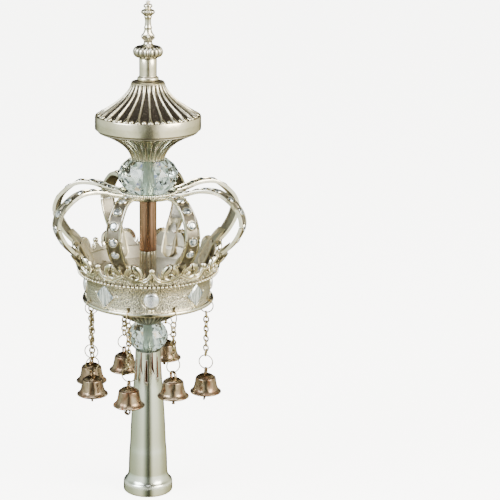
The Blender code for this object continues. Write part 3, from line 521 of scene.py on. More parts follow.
# Bells: bronze-brown skin with rubbed, pale high places, that mirrors the room in soft dents
BELL_METAL = metal("aged_bell_metal", "#B4A186", "#714A32", "#1F160E", 0.16, dent=0.14, worn=1.0,
                   cloud_size=6.0, stretch=2.6)
# Rings and links: wire of the same metal, a little greener and less bright
CHAIN_METAL = metal("tarnished_chain_wire", "#B9AC8A", "#74654A", "#2A2216", 0.24, worn=0.7, cloud_size=5.0)
# Clappers: dark bent iron that shows as a shadow with a brown edge
DARK_IRON = metal("dark_clapper_iron", "#7E6A55", "#54432F", "#2A211A", 0.42, worn=0.6)
print(len(bpy.data.materials), "materials with the floor's paper")

# %% Crystal and paste
def glass(name, tint, cloud_tint, roughness, index):
    """Clear cut glass: plain transmission, and a faint tint that a noise takes from one tone to another."""
    material = bpy.data.materials.new(name)
    material.use_nodes = True
    tree = material.node_tree
    shader = tree.nodes["Principled BSDF"]
    shader.inputs["Transmission Weight"].default_value = 1.0
    shader.inputs["Roughness"].default_value = roughness
    shader.inputs["IOR"].default_value = index
    place = add(tree, "ShaderNodeTexCoord").outputs["Object"]
    clouds = add(tree, "ShaderNodeTexNoise", {"Vector": place, "Scale": 1 / (9 * MM), "Detail": 2.0})
    tone = ramp(tree, clouds.outputs["Fac"], (0.35, tint), (0.65, cloud_tint))
    tree.links.new(tone, shader.inputs["Base Color"])
    return material


def paste(name, pale, deep, roughness, size, stretch):
    """Foil-backed paste stone, a tinted mirror under a coat: mix(noise from deep to pale, dark, recess), the
    recess number holding a painted reflection.
    """
    material = bpy.data.materials.new(name)
    material.use_nodes = True
    tree = material.node_tree
    shader = tree.nodes["Principled BSDF"]
    shader.inputs["Metallic"].default_value = 0.8
    shader.inputs["Roughness"].default_value = roughness
    shader.inputs["Coat Weight"].default_value = 1.0
    shader.inputs["Coat Roughness"].default_value = 0.02
    place = add(tree, "ShaderNodeTexCoord").outputs["Object"]
    drawn = add(tree, "ShaderNodeMapping", {"Vector": place, "Scale": (1.0, 1.0, 1 / stretch)})
    clouds = add(tree, "ShaderNodeTexNoise", {"Vector": drawn.outputs[0], "Scale": 1 / (size * MM),
                                              "Detail": 3.0})
    tone = ramp(tree, clouds.outputs["Fac"], (0.38, deep), (0.6, pale))
    painted_reflection = add(tree, "ShaderNodeAttribute", attribute_name="recess").outputs["Fac"]
    # The near-black mixed in by the recess number is a painted reflection: the round stones' dark crescent
    toned = add(tree, "ShaderNodeMix", {"Factor": painted_reflection, "A": tone, "B": linear("#2C3236")},
                data_type="RGBA")
    tree.links.new(toned.outputs["Result"], shader.inputs["Base Color"])
    return material


# The beads: clear lead crystal, a little grey-green where it is thick
CUT_CRYSTAL = glass("cut_lead_crystal", "#CCD6CE", "#B6C2B8", 0.015, 1.54)
# The tubes inside the beads, which show through the glass as a soft green-grey middle
CORE_METAL = metal("core_tube_seen_through_crystal", "#C8D2C6", "#9CAA9C", "#5A6358", 0.4, worn=0.7)
# The round stones: milky grey domes, almost one tone, with a painted dark reflection near the top
MOON_PASTE = paste("clear_grey_paste_dome", "#F0F3F4", "#C4CDD1", 0.05, 7.0, 1.0)
# The square stones: blue-grey, with upright streaks from the foil
PALE_PASTE = paste("blue_grey_paste_stone", "#E8EDEC", "#6E7D84", 0.12, 1.1, 24.0)
# The small brilliants of the arches: white, with dark flecks
WHITE_PASTE = paste("white_paste_brilliant", "#E4EAEC", "#4E5960", 0.04, 1.6, 1.0)
print(len(bpy.data.materials), "materials in all")

# %% [markdown]
# ## Stem
#
# The stem is a tapered tube with a flared, rounded foot. Fourteen narrow slots are cut near its top,
# thinner above and hooked sideways at their lower ends. Cutting them with a Boolean would leave thin
# faces on a surface that mirrors everything, so the wall is laid out round them instead: each
# fourteenth of the tube has a patch whose rings of points go from the slot's outline to the patch's
# border, and below the patches the wall is a plain turned shape.

# %% Stem
SLOTS = 14
SLOT_TURN = math.radians(-9.4)
SLOT_POINTS = 40
PATCH_RINGS = 7
STEM_WALL = 1.2 * MM
BORE_RADIUS = 10.5 * MM
FOOT_BORE_RADIUS = 14.7 * MM
FOOT_PROFILE = ((18.2, 0.0), (19.2, 0.15), (19.9, 0.7), (20.15, 1.6), (20.15, 4.5), (20.05, 7.4),
                (19.85, 8.5), (19.3, 9.4), (18.3, 10.4), (17.4, 11.6), (16.7, 13.2), (16.25, 14.6),
                (15.95, 16.4))
STEM_PROFILE = ((15.95, 16.4), (15.75, 25.0), (15.35, 34.0), (14.7, 42.0), (13.9, 60.0), (12.55, 82.0),
                (11.75, 92.0))
PATCH_PROFILE = ((11.75, 92.0), (10.95, 104.0), (10.35, 116.0), (10.2, 120.5))
PATCH_LOW, PATCH_HIGH = PATCH_PROFILE[0][1] * MM, PATCH_PROFILE[-1][1] * MM
SLOT_LEVEL = 107.2 * MM
SLOT_HALF_LENGTH = 9.0 * MM
SLOT_RADIUS = 11.0 * MM
SLOT_RISES = (-2.0, 4.2, 0.9, -1.8)
SLOT_LEANS = (0.0, 2.2, 0.0, -0.4)
SEAM_LEVEL = 8.0


def stem_radius(height):
    """The radius of the slotted part, read off its profile."""
    radii, heights = np.array(PATCH_PROFILE).T * MM
    return np.interp(height, heights, radii)


def slot_outline(rise, lean):
    """A slot as (distance round, height): 1.4 mm wide at the top, 2.2 mm at the hooked lower end.

    It is a circle with its upright sine stretched by 1.45 and clipped, which makes the long sides.
    """
    turn = (np.arange(SLOT_POINTS) + 0.5) * FULL_TURN / SLOT_POINTS
    upright = np.clip(1.45 * np.sin(turn), -1, 1)
    half = (1.12 - 0.42 * (0.5 + 0.5 * upright)) * MM
    across = np.sign(np.cos(turn)) * np.abs(np.cos(turn)) ** 0.55 * half
    hook = lean * MM * smooth_step(-upright, 0.35, 1.0)
    return np.stack([across + hook, SLOT_LEVEL + rise + upright * SLOT_HALF_LENGTH], -1)


def patch_border():
    """As many points round a patch's rectangle of (turn, height), in equal steps between corners."""
    side = SLOT_POINTS // 4
    corners = np.array([[1, 1], [-1, 1], [-1, -1], [1, -1]])
    edges = [first + (second - first) * np.arange(side)[:, None] / side
             for first, second in zip(corners, np.roll(corners, -1, 0))]
    square = np.roll(np.concatenate(edges), side // 2, 0)
    middle, tall = (PATCH_LOW + PATCH_HIGH) / 2, (PATCH_HIGH - PATCH_LOW) / 2
    return np.stack([square[:, 0] * math.pi / SLOTS, middle + square[:, 1] * tall], -1)


def border_turns(level):
    """The azimuths of the border points on one level, once round the tube."""
    border = patch_border()
    edge = np.sort(border[np.abs(border[:, 1] - level) < 1e-9, 0])[:-1]
    return (SLOT_TURN + np.arange(SLOTS)[:, None] * FULL_TURN / SLOTS + edge).ravel()


# %% Stem wall
def slotted_wall():
    """All patches, in through their slots to the bore: ring = slot + (border - slot) * share ** 1.3."""
    share = np.linspace(0, 1, PATCH_RINGS)[:, None, None]
    inset = np.concatenate([np.zeros(PATCH_RINGS), [0.25, 0.6, 1.0], np.ones(PATCH_RINGS - 1)])[:, None]
    dirt = np.concatenate([np.zeros(PATCH_RINGS - 2), [0.05, 0.55], np.ones(PATCH_RINGS + 2)])[:, None]
    parts = []
    for index in range(SLOTS):
        slot = slot_outline(SLOT_RISES[index % 4] * MM, SLOT_LEANS[index % 4])
        slot[:, 0] /= SLOT_RADIUS
        flat = slot + (patch_border() - slot) * share ** 1.3
        grid = np.concatenate([flat[::-1], np.repeat(slot[None], 3, 0), flat[1:]])
        azimuth = SLOT_TURN + index * FULL_TURN / SLOTS + grid[..., 0]
        radius = stem_radius(grid[..., 1]) - inset * STEM_WALL
        points = out(azimuth) * radius[..., None] + UP * grid[..., 1:2]
        parts.append(sheet(points, dirt, round_columns=True))
    return joined(*parts)


def stem_top():
    """The tube's top edge: a narrow ring from the outer to the inner border of the patches."""
    radius = stem_radius(PATCH_HIGH) - np.array([0.0, STEM_WALL])[:, None]
    points = out(border_turns(PATCH_HIGH))[None] * radius[..., None] + UP * PATCH_HIGH
    return sheet(points, 0.2, round_columns=True)


def make_stem():
    """Foot and plain wall, bore, patches and top edge. Each wall is radius * outward + height * up."""
    foot = spline(np.array(FOOT_PROFILE) * MM, 3)[:-1]
    wall = spline(np.array(STEM_PROFILE) * MM, 7)
    outside = np.concatenate([foot, wall])
    bore = np.stack([np.maximum(wall[::-1, 0] - STEM_WALL, BORE_RADIUS), wall[::-1, 1]], -1)
    bore = np.concatenate([bore, [[FOOT_BORE_RADIUS, 0.0]], outside[:1]])
    seam = 0.12 * np.exp(-(outside[:, 1:] / MM - SEAM_LEVEL) ** 2)
    away = out(border_turns(PATCH_LOW))[None]
    walls = [sheet(away * line[:, None, :1] + UP * line[:, None, 1:], dirt, round_columns=True)
             for line, dirt in ((outside, seam), (bore, 1.0))]
    return joined(*walls, slotted_wall(), stem_top())


make_piece("stem_tube", make_stem(), SMOOTH_PLATE, ["stem"], crease=50)

# %% [markdown]
# ## Crystal beads
#
# Each bead is cut glass: staggered rows of four-sided facets round a waist, flat shaded so that each
# facet throws its own piece of the room. Even rows have their corners half a step round from odd
# rows, which turns the facets into lozenges. The glass is closed round a metal tube, and that tube is
# what gives the bead its dark green middle, so it is modelled too, inside the glass.

# %% Crystal beads
BEAD_ROWS = ((0.0, 0.62), (0.16, 0.82), (0.36, 0.97), (0.6, 1.0), (0.82, 0.86), (1.0, 0.63))
BEADS = (("lower_crystal", 18, 2.6 * MM), ("upper_crystal", 20, 3.2 * MM))
INSIDE_SKIN = 0.05 * MM


def bead_rings(node, facets):
    """Rings of width * radius, each turned half a facet against the one below, and two flat ends."""
    low, high = levels(node)
    radius = reach(node) - INSIDE_SKIN
    profile = np.array([(0.0, 0.0), *((width, share) for share, width in BEAD_ROWS), (0.0, 1.0)])
    turn = (np.arange(facets)[None] + 0.5 * (np.arange(len(profile)) % 2)[:, None]) * FULL_TURN / facets
    heights = low + (high - low) * profile[:, 1]
    return out(turn) * (radius * profile[:, :1])[..., None] + UP * heights[:, None, None]


def make_bead(node, facets):
    """The bead as triangles: two for each step round, whose corners a, b lie below and c, d above."""
    points = bead_rings(node, facets)
    rows, columns = points.shape[:2]
    i, j = np.arange(rows - 1)[:, None], np.arange(columns)[None]
    beside = (j + 1) % columns
    odd = i % 2
    a, b = i * columns + j, i * columns + beside
    c, d = (i + 1) * columns + j, (i + 1) * columns + beside
    first = np.where(odd, np.stack([a, b, d, d], 0), np.stack([a, b, c, c], 0))
    second = np.where(odd, np.stack([a, d, c, c], 0), np.stack([b, d, c, c], 0))
    quads = np.concatenate([first.reshape(4, -1).T, second.reshape(4, -1).T])
    shape = (points.reshape(-1, 3), quads, np.zeros(rows * columns))
    make_piece(node + "_bead", shape, CUT_CRYSTAL, [node], crease=3)


def make_core(node, radius):
    """The tube that the bead is threaded on, 1.5 times as wide in the foil cups at the bead's ends."""
    low, high = levels(node)
    end = 0.14 * (high - low)
    widths = radius * np.array([0.0, 1.55, 1.5, 1.0])
    rises = np.array([0.4 * MM, 0.4 * MM, end * 0.4, end])
    profile = np.stack([np.concatenate([widths, widths[::-1]]),
                        np.concatenate([low + rises, high - rises[::-1]])], -1)
    shape = turned(profile, 48, recess=np.array([1, 1, 0.7, 0.1, 0.1, 0.7, 1, 1])[:, None])
    make_piece(node + "_core", shape, CORE_METAL, [])


for node, facets, core_radius in BEADS:
    make_bead(node, facets)
    make_core(node, core_radius)

# %% [markdown]
# ## Crown: dish and band
#
# The dish below the crown is thin sheet with fine flutes on its underside. The band above it is the
# richest part: a rolled rim, a pebbled face that flares at its top, and a string of pearls at the
# start of the flare. The pebbles are real relief, because a bump map would go flat in the bright
# reflections: each grid point is pushed out by the height of the nearest of many scattered round
# grains. The rings of the bells go through small holes. There are eight, and the one at the back right
# is empty. A Boolean cuts them, since the pebbles hide the uneven faces that it leaves.

# %% Dish
DISH_PROFILE = ((0.0, 143.7), (9.5, 143.7), (10.6, 144.4), (13.5, 146.0), (18.2, 148.3), (23.5, 151.4),
                (28.5, 155.2), (33.0, 160.0), (37.5, 166.5), (41.5, 173.0), (45.6, 180.5), (47.0, 184.0))
DISH_RIBS = 48
DISH_SIDES = DISH_RIBS * 6


def make_dish():
    """Underside with 48 fine ribs, whose lift is deep * (cos a - 1), a thin edge and a smooth hollow."""
    outside = evenly(spline(np.array(DISH_PROFILE) * MM, 6), 44)
    inside = outside[::-1] + np.array([-0.9, 1.0]) * MM
    inside[:, 0] = np.maximum(inside[:, 0], 0)
    wave = np.cos(np.arange(DISH_SIDES) * FULL_TURN / 6)[None]
    deep = 0.34 * MM * smooth_step(outside[:, :1], 9.5 * MM, 14 * MM)
    lift = np.concatenate([deep * (wave - 1), np.zeros((len(inside), DISH_SIDES))])
    dirt = np.concatenate([0.25 + 0.55 * (0.5 - 0.5 * wave) * (deep > 0),
                           np.full((len(inside), DISH_SIDES), 0.75)])
    return turned(np.concatenate([outside, inside]), DISH_SIDES, lift, dirt)


make_piece("crown_dish_plate", make_dish(), FLUTED_PLATE, ["crown_dish"], crease=60)

# %% Outline of the band and its pebbles
STONE_LEVEL = 176.3 * MM
HOLE_LEVEL = 168.4 * MM
HOLE_RADIUS = 1.6 * MM
HOLES = (-21, 21, -69, -111, 69, -159, 159, 111)
RIM_PROFILE = ((48.4, 163.4), (49.6, 162.7), (51.2, 162.8), (52.2, 163.6), (52.4, 164.8), (51.9, 165.9),
               (50.4, 166.5), (48.9, 166.7), (48.2, 165.4), (48.4, 163.4))
BAND_WAIST = ((49.2, 165.0), (49.2, 172.0), (49.25, 177.0), (49.7, 181.0), (50.8, 184.0), (52.2, 185.8))
BAND_TOP = ((52.2, 185.8), (53.0, 186.4), (53.2, 188.2), (53.6, 190.0), (54.1, 192.2), (53.7, 193.6),
            (52.6, 194.2))
BAND_INSIDE = ((51.6, 193.2), (50.9, 187.6), (48.4, 183.8), (47.9, 179.0), (47.9, 165.0))
BAND_COLUMNS = 720
BAND_RADIUS = 49.2
GRAIN_SPACING = 0.95
GRAIN_REACH = 0.62
GRAIN_HEIGHT = 0.5 * MM
PEARLS = 104
PEARL_RADIUS = 1.34 * MM
PEARL_RING = 55.0 * MM
PEARL_LEVEL = 187.7 * MM


def grains(across, up, spacing, seed):
    """Pebble height from 0 to 1: the round top of the nearest of a jittered grid of grains.

    height = max over the nine near cells of 1 - (distance / (0.62 * spacing)) ** 2.
    """
    cell_u, cell_v = across / spacing, up / spacing
    whole_u, whole_v = np.floor(cell_u), np.floor(cell_v)
    best = np.zeros_like(cell_u)
    for du in (-1, 0, 1):
        for dv in (-1, 0, 1):
            u, v = whole_u + du, whole_v + dv
            shake_u = np.sin(u * 127.1 + v * 311.7 + seed) * 43758.5453 % 1
            shake_v = np.sin(u * 269.5 + v * 183.3 + seed) * 43758.5453 % 1
            far = (u + 0.15 + 0.7 * shake_u - cell_u) ** 2 + (v + 0.15 + 0.7 * shake_v - cell_v) ** 2
            best = np.maximum(best, 1 - far / GRAIN_REACH ** 2)
    return best


def make_band():
    """The band's closed section turned round. Its face is lifted by grain height * (pebble - 0.5)."""
    waist = evenly(spline(np.array(BAND_WAIST) * MM, 8), 58)
    face = np.concatenate([waist, evenly(spline(np.array(BAND_TOP) * MM, 6), 26)[1:]])
    profile = np.concatenate([face, np.array(BAND_INSIDE) * MM, face[:1]])
    turn = np.arange(BAND_COLUMNS) * FULL_TURN / BAND_COLUMNS
    pebble = grains(turn[None] * BAND_RADIUS, face[:, 1:] / MM, GRAIN_SPACING, 5)
    level, low, high = face[:, 1:], face[0, 1], face[-1, 1]
    border = smooth_step(level, low, low + 2 * MM) * (1 - smooth_step(level, high - 1.5 * MM, high))
    # Darker in a narrow band at the pearls' level, just behind them; the face has no groove cut there
    dark_band_behind_pearls = np.exp(-((level - 187.6 * MM) / (1.1 * MM)) ** 2)
    lift = np.zeros((len(profile), BAND_COLUMNS))
    lift[:len(face)] = (pebble - 0.5) * GRAIN_HEIGHT * border
    dirt = np.full_like(lift, 0.6)
    dirt[:len(face)] = 0.02 + 0.95 * (1 - np.clip(pebble * 1.7, 0, 1)) + 0.8 * dark_band_behind_pearls
    return turned(profile, BAND_COLUMNS, lift, dirt)


def make_rim():
    """The rolled lower edge, turned from its round profile, and balls set at equal turns for pearls."""
    roll = turned(spline(np.array(RIM_PROFILE) * MM, 3), 240, recess=0.04)
    turn = (np.arange(PEARLS) + 0.5) * FULL_TURN / PEARLS
    places = out(turn) * PEARL_RING + UP * PEARL_LEVEL
    pearls = copies(ball(PEARL_RADIUS, 7, 10), places, axes_of(around(turn), UP, -out(turn)))
    return joined(roll, pearls)


print("pebbles", GRAIN_SPACING, "mm apart,", PEARLS, "pearls")

# %% Holes for the bells, and the band with its rim
def cut_holes(piece):
    """Eight round holes through the band, the last one empty: the band less eight level rods."""
    turn = np.radians(HOLES)
    ends = ((0.0, -3.0 * MM), (HOLE_RADIUS, -3.0 * MM), (HOLE_RADIUS, 3.0 * MM), (0.0, 3.0 * MM))
    rod = sheet(np.stack([np.concatenate([circle(20, size), np.full((20, 1), depth)], 1)
                          for size, depth in ends]), 1.0, round_columns=True)
    rods = copies(rod, out(turn) * 48.6 * MM + UP * HOLE_LEVEL, axes_of(around(turn), UP, -out(turn)))
    mesh = bpy.data.meshes.new("hole_rods")
    mesh.from_pydata(rods[0].tolist(), [], rods[1].tolist())
    solid = bmesh.new()
    solid.from_mesh(mesh)
    weld(solid)
    solid.to_mesh(mesh)
    tool = bpy.data.objects.new("hole_rods", mesh)
    bpy.context.scene.collection.objects.link(tool)
    change = piece.modifiers.new("holes", "BOOLEAN")
    change.operation = "DIFFERENCE"
    change.solver = "EXACT"
    change.object = tool
    piece.data = bpy.data.meshes.new_from_object(piece.evaluated_get(bpy.context.evaluated_depsgraph_get()))
    piece.modifiers.remove(change)
    bpy.data.objects.remove(tool)
    solid.clear()
    solid.from_mesh(piece.data)
    open_edges = sum(len(edge.link_faces) != 2 for edge in solid.edges)
    solid.free()
    print(piece.name, "with", len(turn), "holes has", len(piece.data.polygons), "faces,", open_edges,
          "open edges")


band_piece = make_piece("crown_band", make_band(), PEBBLED_PLATE, ["crown_base"], crease=70)
cut_holes(band_piece)
make_piece("crown_rim", make_rim(), CAST_PLATE, [], crease=60)

# %% [markdown]
# ## Crown: bezels and stones on the band
#
# Four round stones sit in raised ring bezels and four square ones in kite frames between them. A
# frame is an outline carried along a small path on the band, so the same carrying function makes the
# round bezels, the arcs outside them and the straight-sided frames. A stone is a low dome or a
# table-cut square; both are given by a few rings of points.

# %% Bezels, frames and stones
FACE_RADIUS = BAND_RADIUS * MM
RIDGE = np.array([(-0.5, -1.2), (0.5, -1.2), (0.5, -0.1), (0.32, 0.32), (0.0, 0.5), (-0.32, 0.32),
                  (-0.5, -0.1)])


def on_band(points, azimuth, lift):
    """Flat (across, up) points in metres bent onto the band: turn = azimuth + across / radius."""
    turn = azimuth + points[..., 0] / FACE_RADIUS
    return out(turn) * (FACE_RADIUS + lift) + UP * (STONE_LEVEL + points[..., 1:2])


def ridge_round(points, azimuth, width, height, lift=0.0, recess=0.05):
    """A ridge carried round a closed line on the band: width across it, height off the face."""
    path = on_band(points, azimuth, lift)
    run = unit(np.roll(points, -1, 0) - np.roll(points, 1, 0))
    across = np.stack([run[:, 1], -run[:, 0]], -1)
    away = out(azimuth + points[:, 0] / FACE_RADIUS)
    side = around(azimuth + points[:, 0] / FACE_RADIUS) * across[:, :1] + UP * across[:, 1:]
    size = np.tile([width, height], (len(points), 1))
    return carried(path, side, away, RIDGE, size, recess, loop=True)


def kite(size, steps, rounding=0.05):
    """A square on its point: distance = size / (|cos a| + |sin a|), cut off near the corners."""
    turn = np.arange(4 * steps) * FULL_TURN / (4 * steps)
    near = 1 / (np.abs(np.cos(turn)) + np.abs(np.sin(turn)))
    return size * np.stack([np.sin(turn), np.cos(turn)], -1) * np.minimum(near, 1 - rounding)[:, None]


def round_setting(azimuth):
    """A bezel ring of radius 6.25 mm, a finer one of 7.75 mm outside it, and two small balls below."""
    inner = ridge_round(circle(48, 6.25 * MM), azimuth, 1.0 * MM, 1.55 * MM)
    outer = ridge_round(circle(48, 7.75 * MM), azimuth, 0.7 * MM, 0.8 * MM)
    lobes = np.array([(-1.3, -8.6), (1.3, -8.6)]) * MM
    places = on_band(lobes, azimuth, 0.1 * MM)
    away = out(azimuth + lobes[:, 0] / FACE_RADIUS)
    beads = copies(ball(1.1 * MM, 6, 10), places, axes_of(around(azimuth)[None], UP[None], -away))
    return joined(inner, outer, beads)


def kite_setting(azimuth):
    """A kite frame, a fine larger kite cut off at 1.2 mm above the middle, and a knob at each side."""
    frame = ridge_round(kite(9.5 * MM, 12), azimuth, 1.15 * MM, 2.1 * MM)
    chevron = kite(11.6 * MM, 12)
    chevron[:, 1] = np.minimum(chevron[:, 1], 1.2 * MM)
    line = ridge_round(chevron[::-1], azimuth, 0.55 * MM, 0.55 * MM)
    spurs = np.array([(-11.4, 0.6), (11.4, 0.6)]) * MM
    places = on_band(spurs, azimuth, 0.1 * MM)
    away = out(azimuth + spurs[:, 0] / FACE_RADIUS)
    knobs = copies(ball(0.95 * MM, 6, 10), places, axes_of(around(azimuth)[None] * 1.6, UP[None], -away))
    return joined(frame, line, knobs)


def stone_rings(azimuth, rings, painted_reflection=0.0):
    """A stone from rings of flat points and their lifts, closed by its middle."""
    points = np.stack([on_band(ring, azimuth, lift) for ring, lift in rings])
    return sheet(points, painted_reflection, round_columns=True)


def cabochon(azimuth):
    """A low dome: radius = 5.75 cos t, lift = 0.9 + 1.75 sin t, a flat back, and a dark upper crescent that
    is a painted reflection.
    """
    rise = np.linspace(0, math.pi / 2, 15)
    rings = [(circle(48, 0.0), 0.5 * MM), (circle(48, 5.75 * MM), 0.5 * MM)]
    rings += [(circle(48, 5.75 * MM * math.cos(t)), (0.9 + 1.75 * math.sin(t)) * MM) for t in rise]
    flat = np.array([ring for ring, _ in rings]) / MM
    arc = np.linalg.norm(flat + np.array([0.0, 2.2]), axis=-1)
    # Painted reflection: a dark crescent near the top of the dome, carried in the recess number
    painted_reflection = 0.85 * np.exp(-((arc - 6.0) / 0.5) ** 2) * smooth_step(flat[..., 1], 2.4, 3.6)
    return stone_rings(azimuth, rings, painted_reflection)


def square_stone(azimuth):
    """A table-cut stone from kites of (size, lift): straight sides, a step, sloping sides, a table."""
    rings = [(kite(size * MM, 6, 0.02), lift * MM)
             for size, lift in ((0.0, 0.6), (8.9, 0.6), (8.9, 1.6), (7.4, 2.3), (6.9, 2.4), (0.0, 2.4))]
    return stone_rings(azimuth, rings)


for index, side in enumerate(("front", "right", "back", "left")):
    make_piece("cabochon_stone_" + side, cabochon(index * FULL_TURN / 4), MOON_PASTE, ["cabochon_" + side])
for index, side in enumerate(("front_right", "back_right", "back_left", "front_left")):
    make_piece("square_stone_" + side, square_stone((index + 0.5) * FULL_TURN / 4), PALE_PASTE,
               ["diamond_" + side], crease=12)
settings = joined(*(round_setting(index * FULL_TURN / 4) for index in range(4)),
                  *(kite_setting((index + 0.5) * FULL_TURN / 4) for index in range(4)))
make_piece("crown_settings", settings, CAST_PLATE, [], crease=60)

# %% [markdown]
# ## Crown: cresting
#
# Above the pearls stands a ring of cast waves. Each eighth of it holds, between two arches, a pair of
# full curls that break towards a ball in the middle, with swags of double line below. The ground
# behind them is a plate with a shaped top edge. A curl is a domed ribbon that rises off the plate and
# narrows to its end, where a thinner hook turns back inside it. A thin roll in the darkest tarnish
# colour lies along its top: a painted shade that stands for a slit. Each swag line is a bead of metal,
# and small knots sit where the casting meets the pearls. One half bay is drawn in degrees from its arch
# and millimetres of height, bent onto the leaning wall, mirrored and copied round, so that eight bays
# cost the work of half a one.

# %% Cresting
BAY = FULL_TURN / 8
CREST_LOW = 192.4
CREST_RADIUS = 54.6
CREST_LEAN = 0.28
PLATE_EDGE = ((0, 3, 6, 9, 11.5, 13.5, 16, 19, 21, 22.5),
              (205.0, 203.5, 204.3, 204.3, 202.0, 197.0, 194.9, 195.8, 198.5, 199.8))
RIBBON = np.array([(-0.5, -0.35), (-0.32, -0.5), (0.32, -0.5), (0.5, -0.35), (0.5, 0.12), (0.34, 0.42),
                   (0.12, 0.3), (-0.12, 0.3), (-0.34, 0.42), (-0.5, 0.12)])
ROLL = circle(10, 0.5)
DOMED = np.array([(-0.5, -0.5), (0.5, -0.5), (0.5, 0.0), (0.4, 0.27), (0.22, 0.44), (0.0, 0.5), (-0.22, 0.44),
                  (-0.4, 0.27), (-0.5, 0.0)])


def crest_radius(height_mm):
    """The outer face of the cresting in millimetres: it leans out by 0.28 mm for each mm it rises."""
    return CREST_RADIUS + CREST_LEAN * (height_mm - CREST_LOW)


def crest_points(places, lift=0.0):
    """(degrees from the arch, height in mm) bent onto the leaning wall and lifted off it."""
    places = np.asarray(places, float)
    turn = np.radians(places[..., 0]) + BAY / 2
    radius = (crest_radius(places[..., 1]) + lift) * MM
    return out(turn) * radius[..., None] + UP * (places[..., 1:2] * MM)


def crest_band(line, widths, thickness, lift, section=RIBBON, steps=6, recess=0.1):
    """A section carried along a curve on the wall. Widths and lifts in mm belong to the curve's points."""
    lifts = np.broadcast_to(lift, len(line))
    curve = spline(np.column_stack([line, widths, lifts]), steps)
    path = crest_points(curve[:, :2], curve[:, 3])
    away = unit(crest_points(curve[:, :2], curve[:, 3] + 1.0) - path)
    side = unit(np.cross(np.gradient(path, axis=0), away))
    size = np.stack([curve[:, 2] * MM, np.full(len(curve), thickness * MM)], -1)
    return carried(path, side, away, section, size, recess)


def mirrored(shape):
    """A shape on the other side of the bay's middle plane, at azimuth BAY: point - 2 (point . n) n."""
    points, quads, recess = shape
    across = around(BAY)
    flipped = points - 2 * (points @ across)[:, None] * across
    return flipped, quads[:, ::-1], recess


def round_the_crown(shape, count=8):
    """Copies of a shape turned about the upright axis, count times."""
    turn = np.arange(count) * FULL_TURN / count
    return copies(shape, np.zeros((count, 3)), axes_of(around(turn), -out(turn), UP))


def back_plate():
    """Half a bay of ground plate, 1 mm thick: height = low + share * (edge - low)."""
    from_arch = np.linspace(-0.02, 22.5, 46)
    edge = np.interp(from_arch, *PLATE_EDGE)
    height = CREST_LOW + (edge - CREST_LOW) * np.linspace(0, 1, 9)[:, None]
    places = np.stack(np.broadcast_arrays(from_arch[None], height), -1)
    front = crest_points(places, -0.45)
    back = crest_points(places, -1.5)
    rings = np.concatenate([front, back[::-1]])
    dirt = np.concatenate([np.linspace(0.5, 0.1, 9), np.full(9, 0.52)])[:, None]
    side = [np.repeat(rings.mean(0, keepdims=True)[:, end:end + 1], len(rings), 0) for end in (0, -1)]
    return sheet(np.concatenate([side[0], rings, side[1]], 1), dirt, round_rows=True)


def half_bay():
    """Curl, inner hook, a dark roll of painted slit shade, two swag lines, tongue and knots, each drawn as
    (degrees, height).
    """
    curl = crest_band(((2.2, 197.4), (2.9, 200.6), (5.6, 203.6), (9.2, 204.3), (12.3, 202.2), (13.6, 198.6),
                       (12.6, 195.2)), (3.2, 4.4, 5.0, 5.2, 4.8, 3.6, 1.8), 3.2,
                      (1.0, 1.4, 1.9, 2.2, 2.1, 1.7, 1.1), DOMED, recess=0.0)
    hook = crest_band(((12.6, 195.2), (9.6, 193.9), (6.6, 194.8), (5.9, 197.0), (8.0, 198.4), (9.8, 197.2)),
                      (2.0, 2.4, 2.3, 2.1, 2.0, 0.8), 2.2, (0.9, 1.1, 1.2, 1.2, 1.1, 0.9), ROLL, recess=0.0)
    # A thin roll in full tarnish colour on the curl's top: painted shade that stands for a slit
    painted_slit_shade = crest_band(((7.4, 206.9), (7.9, 204.2), (8.6, 201.9)), (0.7, 1.0, 0.7), 0.9, 3.75, ROLL,
                      recess=1.0)
    swag = np.array([(-0.2, 196.4), (3.4, 194.3), (7.4, 192.2), (11.6, 191.5), (15.6, 192.1), (18.8, 193.8),
                     (20.9, 196.4), (21.8, 198.6)])
    swags = [crest_band(swag + np.array([0.0, rise]), (1.7,) * 8, 2.8, depth, ROLL, recess=0.0)
             for rise, depth in ((0.0, 1.3), (2.0, 0.9))]
    tongue = crest_band(((15.6, 195.4), (16.8, 197.6), (17.2, 199.6)), (1.8, 1.5, 0.5), 1.1, 0.0,
                        recess=0.15)
    spots = np.array([(1.0, 192.6), (4.2, 190.8), (9.6, 190.0), (13.4, 190.0), (18.4, 190.2)])
    turn = np.radians(spots[:, 0]) + BAY / 2
    knots = copies(ball(0.85 * MM, 6, 8), crest_points(spots, 0.15), axes_of(around(turn), UP, -out(turn)))
    return joined(back_plate(), curl, hook, painted_slit_shade, *swags, tongue, knots)


def middle_ball():
    """Two balls one above the other in the middle of a bay, and a leaf that hangs below them."""
    axes = axes_of(around(BAY)[None], UP[None], -out(BAY)[None])
    lobes = [copies(ball(size * MM, 9, 14), crest_points([(22.5, height)], 0.3), axes)
             for height, size in ((201.6, 2.35), (199.3, 1.9))]
    leaf = crest_band(((22.5, 197.2), (22.5, 194.8), (22.5, 192.3), (22.5, 190.2)), (1.2, 3.8, 3.0, 0.5),
                      1.6, 0.3)
    return joined(*lobes, leaf)


bay = joined(half_bay(), mirrored(half_bay()), middle_ball())
make_piece("crown_cresting", round_the_crown(bay), CAST_PLATE, [], crease=50)

# %% [markdown]
# ## Crown: arches
#
# Eight flat arches rise from the cresting, swing out over it and come in to the hub. Each is a strip
# with a raised rail on both edges, a shallow hollow on its underside, and a row of paste brilliants
# in cups that get smaller towards the hub. The middle line is a curve in radius and height, and its
# normal is that curve's slope turned by a quarter, so the section stays square to it everywhere. The
# lower third belongs to the lower casting and the rest to the upper one, with a fine seam between.
# Over each foot lies a pointed leaf with rolled edges, made of straight rules from its rim to its top
# ridge, and behind the foot a hollow channel of matt metal runs down inside the crown.

